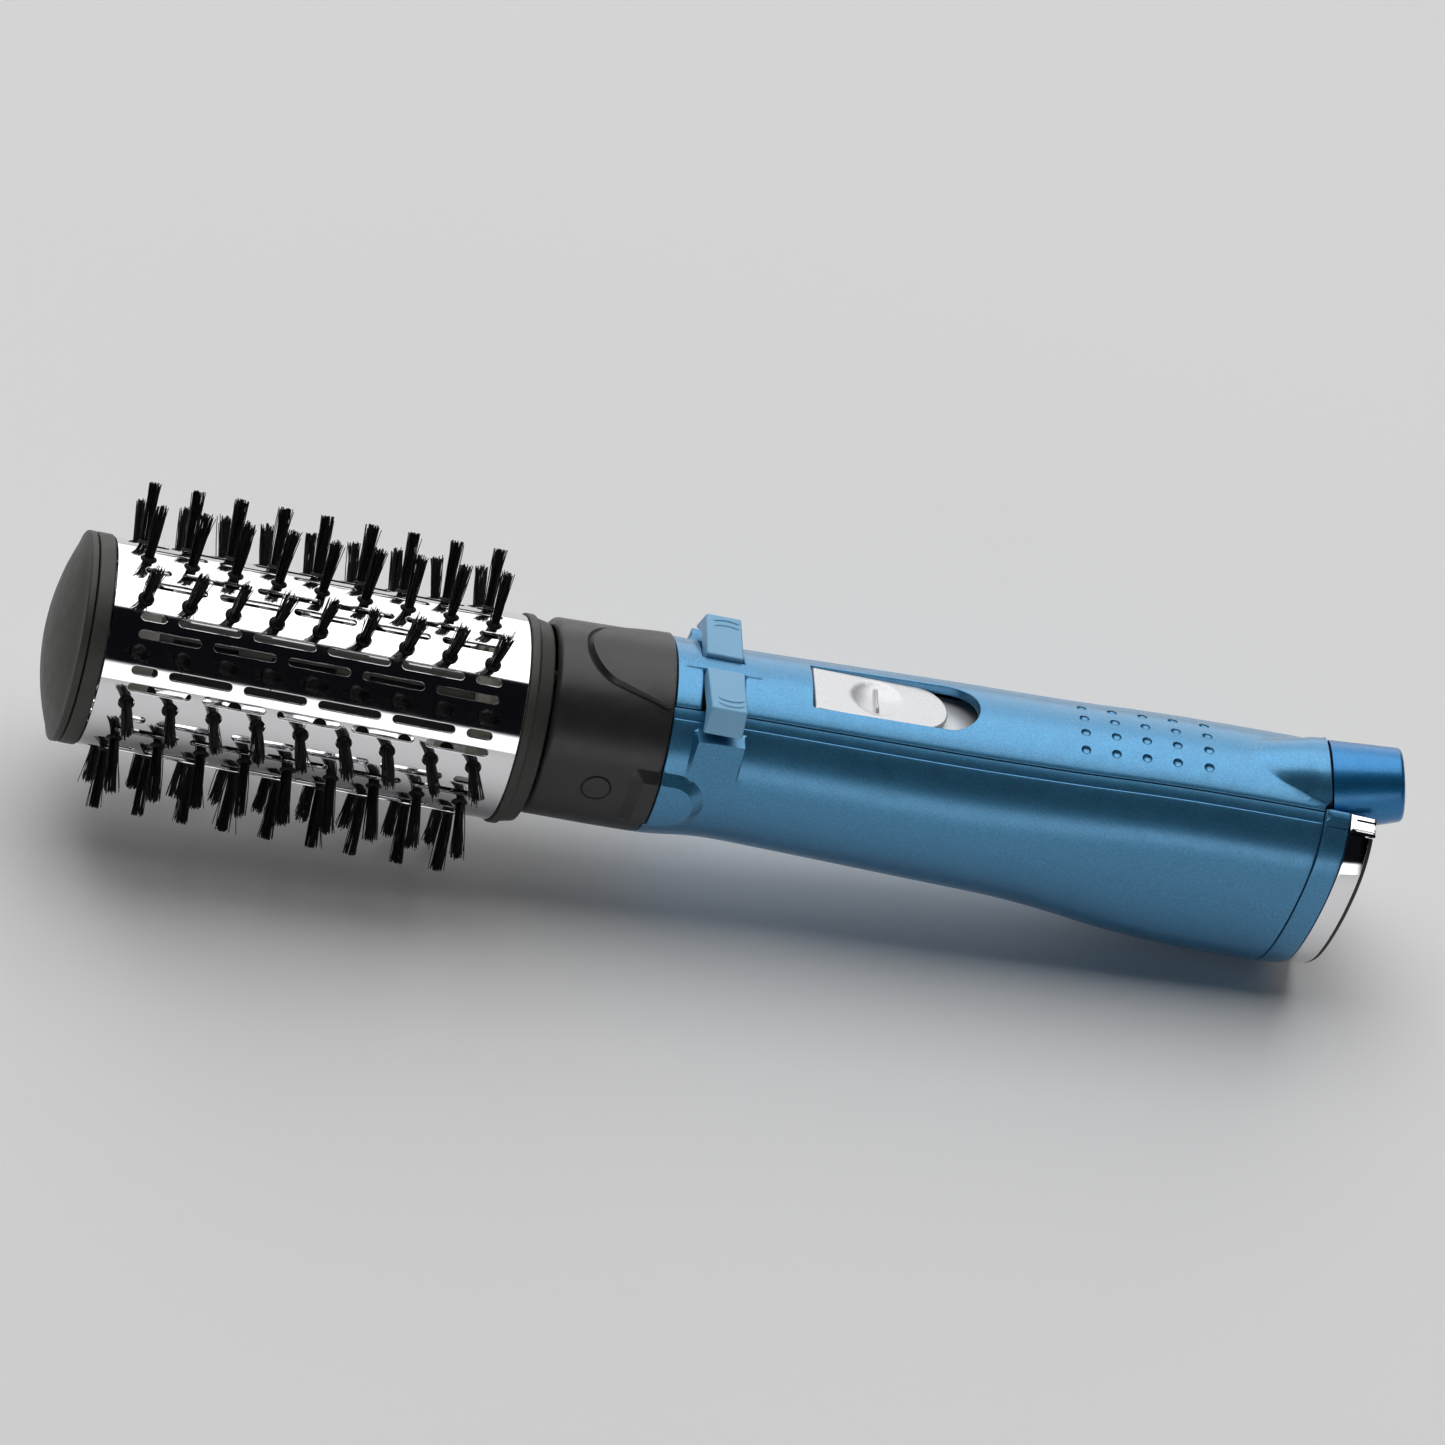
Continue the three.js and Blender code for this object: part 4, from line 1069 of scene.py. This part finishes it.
def rear_band():
    """Blue band behind the shells, with the two-faced end of each trim strip raised on it."""
    rim = box(BAND_START, BAND_END, arc(BAND_ANGLE), arc(360 - BAND_ANGLE), 1.0)

    def relief(x, degrees):
        folded = fold(degrees)
        down = np.clip((folded - BAND_CREST) / (BAND_FOOT - BAND_CREST), 0, 1)
        raised = np.where(folded < BAND_FOOT, 0.45 - 0.4 * down, 0)
        mitre = np.clip((x - BAND_START - 0.5 - 0.8 * down) / 0.3, 0, 1)
        groove = np.clip(1 - np.abs(folded - BAND_FOOT - 0.5) / 0.5, 0, 1)
        crease = np.clip(1 - np.abs(folded - BAND_CREST) / 0.3, 0, 1)
        return (raised - 0.15 * crease) * mitre - 0.4 * groove

    lines = lip_lines(rim, LIP)
    creases = [BAND_CREST + shift for shift in (-0.3, 0, 0.3)]
    feet = [BAND_FOOT + shift for shift in (0, 0.5, 1)]
    for angle in creases + feet:
        for s in (arc(angle), arc(360 - angle)):
            lines.append(straight((BAND_START + 0.5, s), (BAND_END - 0.5, s), 1.0))
    handle_shell("tail_band", "handle", "pearl_blue", "rear_band", rim, [], lines, relief,
                 (0.6, 1.2))


# Width of the black band behind the chrome rim, a painted reflection.
DARK_REFLECTION_WIDTH = 1.1


def rim_rings(profile):
    """Outlines of (x, inset) carried round the handle from clasp to clasp."""
    x, inset = np.transpose(profile)
    return [handle_point(x, np.full(len(x), angle), inset)
            for angle in np.linspace(RIM_ANGLE, 360 - RIM_ANGLE, 150)]


def chrome_rim():
    """Chrome horseshoe round the air intake, with a narrow black band behind it: a painted reflection, a dark
    piece standing in for the dark reflection of the rim's rounded rear edge.
    """
    rear = RIM_END - DARK_REFLECTION_WIDTH
    profile = soften([(RIM_START, SHELL_WALL), (RIM_START, 0.25), (rear, 0.25), (rear, SHELL_WALL)],
                     [0.2, 0.35, 0.3, 0.2])
    swept("intake_rim", rim_rings(profile), "rear_cover", "rim_chrome", "chrome_rim")
    # Black band at the rim's rear: painted reflection, standing in for the dark reflection of the chrome's rounded
    # rear edge.
    start = rear + 0.05
    profile = soften([(start, SHELL_WALL), (start, 0.3), (RIM_END, 0.3), (RIM_END, SHELL_WALL)],
                     [0.1, 0.2, 1.0, 0.3], steps=8)
    swept("intake_painted_reflection", rim_rings(profile), "rear_cover", "inner_black")


def rim_clasp(name, sign):
    """Chrome clasp at the end of the rim: a frame round a sunken panel with a ledge."""
    low, high = sorted((sign * arc(CLASP_START), sign * arc(CLASP_END)))
    rear = RIM_END - 0.1
    rim = box(RIM_START, rear, low, high, 0.6)
    frame_x, frame_low, frame_high = RIM_START + 1.3, CLASP_START + 2.6, CLASP_END - 1.8
    depth, ledge_share, tilt_rise = 0.6, 0.6, 0.9
    ledge_low, ledge_high = CLASP_END - 4.2, CLASP_END - 2.9

    def relief(x, degrees):
        folded = np.abs(degrees)
        degree = arc(1)
        within = np.minimum(np.minimum(folded - frame_low, frame_high - folded) * degree,
                            np.minimum(x - frame_x, rear - 0.25 - x))
        on_ledge = np.minimum(folded - ledge_low, ledge_high - folded) * degree
        sunk = depth * np.clip(within / 0.15, 0, 1)
        tilt = (folded - CLASP_START) / (CLASP_END - CLASP_START)
        return tilt_rise * tilt - sunk * (1 - ledge_share * np.clip(on_ledge / 0.12, 0, 1))

    lines = []
    for margin in (0, 0.15):
        a, b = sorted((sign * (arc(frame_low) + margin), sign * (arc(frame_high) - margin)))
        lines.append((box(frame_x + margin, rear - 0.25 - margin, a, b, 0.6), True))
    for angle, margin in ((ledge_low, 0), (ledge_low, 0.12), (ledge_high, -0.12), (ledge_high, 0)):
        s = sign * (arc(angle) + margin)
        lines.append(straight((frame_x + 0.3, s), (rear - 0.55, s), 0.6))
    handle_shell(f"clasp_{name}", "rear_cover", "rim_chrome", f"rim_clasp_{name}", rim, [],
                 lines, relief, (0.5, 0.5), lip=0.2)


def on_cone_axis(points):
    """Carries points built along x onto the tilted axis of the cord swivel."""
    x, y, z = points.T
    c, s = math.cos(CONE_TILT), math.sin(CONE_TILT)
    return np.stack([CONE_BASE[0] + x * c - z * s, y, CONE_BASE[2] + x * s + z * c], -1)


def swivel_cone():
    """Tapered swivel where the cord leaves the handle."""
    profile = soften([
        (0, CONE_BASE_RADIUS), (CONE_LENGTH, CONE_END_RADIUS), (CONE_LENGTH, CORD_HOLE_RADIUS),
        (-9, CORD_HOLE_RADIUS), (-9, 8.6), (-7, 8.6), (-7, 7), (0, 7),
    ], [0.3, 1.3, 0.5, 0, 0, 0, 0, 0], steps=6)
    spun("cord_swivel", profile, 112, "swivel", "swivel_blue", "swivel_cone", on_cone_axis)


# ---------- controls ----------
def silver_plate(name, body, node, rim, lines, height, bottom, spacing, smooth_angle):
    """Flat-bottomed plate in x and y, with its top set by a height function."""
    flat, faces = triangulate(rim, [], lines, spacing)
    outer = np.column_stack([flat, height(flat)])
    points, faces, _ = closed_wall(outer, np.column_stack([flat, np.full(len(flat), bottom)]), faces)
    solid(name, points, faces, body, "switch_silver", node, smooth_angle=smooth_angle)


def slider_rim():
    rear = half_circle(SLIDER_START + SLIDER_LENGTH - SLIDER_HALF, 0, SLIDER_HALF, 26)
    loop = [(SLIDER_START, -SLIDER_HALF)] + rear + [(SLIDER_START, SLIDER_HALF)]
    return resample(loop, 1.0)


def switch_slider():
    """Silver slider with a round thumb dish crossed by a raised rib."""
    rim = slider_rim()
    centre, dish, depth = 29.0, 6.4, 1.35
    rib_half, rib_width, rib_height = 4.4, 0.6, 1.25
    lip = 0.45

    def height(points):
        x, y = points.T
        top = SLIDER_TOP - lip_inset(distance_to(points, segments_of(rim)), lip)
        gap = np.clip(1 - (np.hypot(x - centre, y) / dish) ** 2, 0, 1)
        bowl = depth * gap**0.8
        across = np.clip(1 - (np.abs(x - centre) / rib_width) ** 2, 0, 1)
        along = np.clip((rib_half - np.abs(y)) / 0.9, 0, 1)
        return top - bowl + rib_height * np.sqrt(across) * along

    lines = lip_lines(rim, lip)
    lines.append((circle(centre, 0, dish, 48), True))
    for share in (-1, -0.85, -0.5, 0, 0.5, 0.85, 1):
        x = centre + rib_width * share
        lines.append(straight((x, -rib_half), (x, rib_half), 0.9))
    silver_plate("power_slider", "slider", "switch_slider", rim, lines, height,
                 SLIDER_TOP - 1.8, (0.9, 0.9), 50)


def switch_base():
    """Silver plate seen behind the slider."""

    def height(points):
        return np.full(len(points), 23.9)

    rim = box(20, 56.5, -9, 9, 1.5)
    silver_plate("switch_plate", "handle", "switch_base", rim, [], height, 22.6, (3, 3), 35)


CREST_RISE = 0.1


def rotation_button(name, sign):
    """Wing-shaped button: nearly flat top, sloping outer face and leaning front."""
    wing = [(BUTTON_INNER, BUTTON_TOP), (BUTTON_CREST, BUTTON_TOP + CREST_RISE), (20.3, 22.9),
            (19.4, 22.5), (17, 24.2), (14, 25.6), (BUTTON_INNER, 25.6)]
    front, rear = [], []
    for y, z in wing:
        lean = 0.12 * (z - 25.5) + 0.03 * (y - BUTTON_INNER)
        front.append((BUTTON_START + lean, sign * y, z))
        rear.append((BUTTON_END - 0.03 * (z - 24.5), sign * y, z))
    count = len(wing)
    faces = [tuple(range(count)), tuple(range(count, 2 * count))[::-1]]
    faces += [(i, i + count, (i + 1) % count + count, (i + 1) % count) for i in range(count)]
    piece = solid(f"turn_button_{name}", np.array(front + rear), faces, "button_" + name,
                  "button_blue", f"rotation_button_{name}")
    add_bevel(piece, 0.7, 5)
    grip_ridge(name, 1, sign)
    grip_ridge(name, 2, sign)


def grip_ridge(name, number, sign):
    """Slim ridge on top of a button, bowed outwards."""
    t = np.linspace(-1, 1, 18)
    ys = 11.5 + 1.9 * number + 0.8 * (1 - t * t)
    tops = BUTTON_TOP + CREST_RISE * (ys - BUTTON_INNER) / (BUTTON_CREST - BUTTON_INNER)
    size = np.sqrt(np.clip(1.01 - t**6, 0.01, 1))
    turn = np.arange(10) * math.pi / 5
    rings = []
    for x, cy, top, share in zip(-8.7 + 3.3 * t, ys, tops, size):
        for a in turn:
            rings.append((x, sign * (cy + 0.5 * share * math.cos(a)), top + 0.3 * share * math.sin(a)))
    solid(f"turn_button_{name}_ridge_{number}", np.array(rings), capped_faces(len(t), len(turn)),
          "button_" + name, "button_blue", smooth_angle=60)


# ---------- studio ----------
def studio_camera():
    """Long lens from the left, above the barrel, rolled so that the tail sits lower."""
    back = Vector((0, 0, 0))
    for part, direction in ((-0.206, AXIS), (-0.763, SIDE), (0.612, UP)):
        back += part * direction
    back.normalize()
    across = (AXIS - AXIS.dot(back) * back).normalized()
    above = back.cross(across)
    roll = math.radians(10.72)
    right = math.cos(roll) * across + math.sin(roll) * above
    up = back.cross(right)
    target = ORIGIN + AXIS * (-3.6 * MM) + right * (1.45 * MM) + up * (8.3 * MM)
    camera = bpy.data.objects.new("camera", bpy.data.cameras.new("camera"))
    camera.matrix_world = Matrix.Translation(target + back * 2.0) @ Matrix(
        (right, up, back)).transposed().to_4x4()
    camera.data.lens = 206
    camera.data.sensor_width = 36
    camera.data.clip_end = 50
    SCENE.collection.objects.link(camera)
    SCENE.camera = camera


def studio_floor():
    size = 6.0
    points = [(-size, -size, 0), (size, -size, 0), (size, size, 0), (-size, size, 0)]
    floor = new_object("floor", points, [(0, 1, 2, 3)])
    floor.data.materials.append(node_material("floor", (0.88, 0.88, 0.88), 0.7)[0])


def studio_world():
    """Bright surroundings with one long dark card beside the barrel and a dark end each way."""
    world = bpy.data.worlds.new("studio")
    SCENE.world = world
    world.use_nodes = True
    tree = world.node_tree
    background = tree.nodes["Background"]
    direction = add_node(tree, "TexCoord").outputs["Generated"]

    def towards(axis):
        dot = add_node(tree, "VectorMath", "DOT_PRODUCT")
        dot.inputs[1].default_value = axis
        tree.links.new(direction, dot.inputs[0])
        return dot.outputs["Value"]

    def stop(degrees, colour):
        return (degrees + 180) / 360, colour

    angle = add_node(tree, "Math", "ARCTAN2")
    tree.links.new(towards((0, 0, 1)), angle.inputs[0])
    tree.links.new(towards((0, -1, 0)), angle.inputs[1])
    share = spread_value(tree, angle.outputs["Value"], 0, 1, -math.pi, math.pi)
    white, card = (1, 1, 1), (0.003, 0.003, 0.004)
    light = ramp(tree, share, [stop(-180, white), stop(17, white), stop(20, card), stop(80, card),
                               stop(83, white), stop(180, white)])
    end_light = 0.06
    for values in ((1, end_light, 0.42, 0.5), (end_light, 1, -0.66, -0.4)):
        shade = add_node(tree, "VectorMath", "SCALE")
        tree.links.new(light, shade.inputs[0])
        tree.links.new(spread_value(tree, towards((1, 0, 0)), *values), shade.inputs["Scale"])
        light = shade.outputs["Vector"]
    tree.links.new(light, background.inputs["Color"])
    background.inputs["Strength"].default_value = 1.35


def key_light():
    light = bpy.data.lights.new("key", "AREA")
    light.shape = "RECTANGLE"
    light.size, light.size_y = 1.8, 1.2
    light.energy = 5
    lamp = bpy.data.objects.new("key", light)
    lamp.location = (0.0, 0.35, 1.2)
    lamp.rotation_euler = (-lamp.location).to_track_quat("-Z", "Y").to_euler()
    SCENE.collection.objects.link(lamp)


studio_camera()
studio_floor()
studio_world()
key_light()
SCENE.view_settings.view_transform = "Standard"
dress_cad_nodes()

barrel()
for row, row_angle in enumerate(ROW_ANGLES, 1):
    bristle_row(row, row_angle)
end_cap()
cap_ring()
rear_ring()
collar()
main_shell()
top_cover()
trim_strips()
rear_band()
chrome_rim()
rim_clasp("left", 1)
rim_clasp("right", -1)
swivel_cone()
switch_slider()
switch_base()
rotation_button("left", -1)
rotation_button("right", 1)
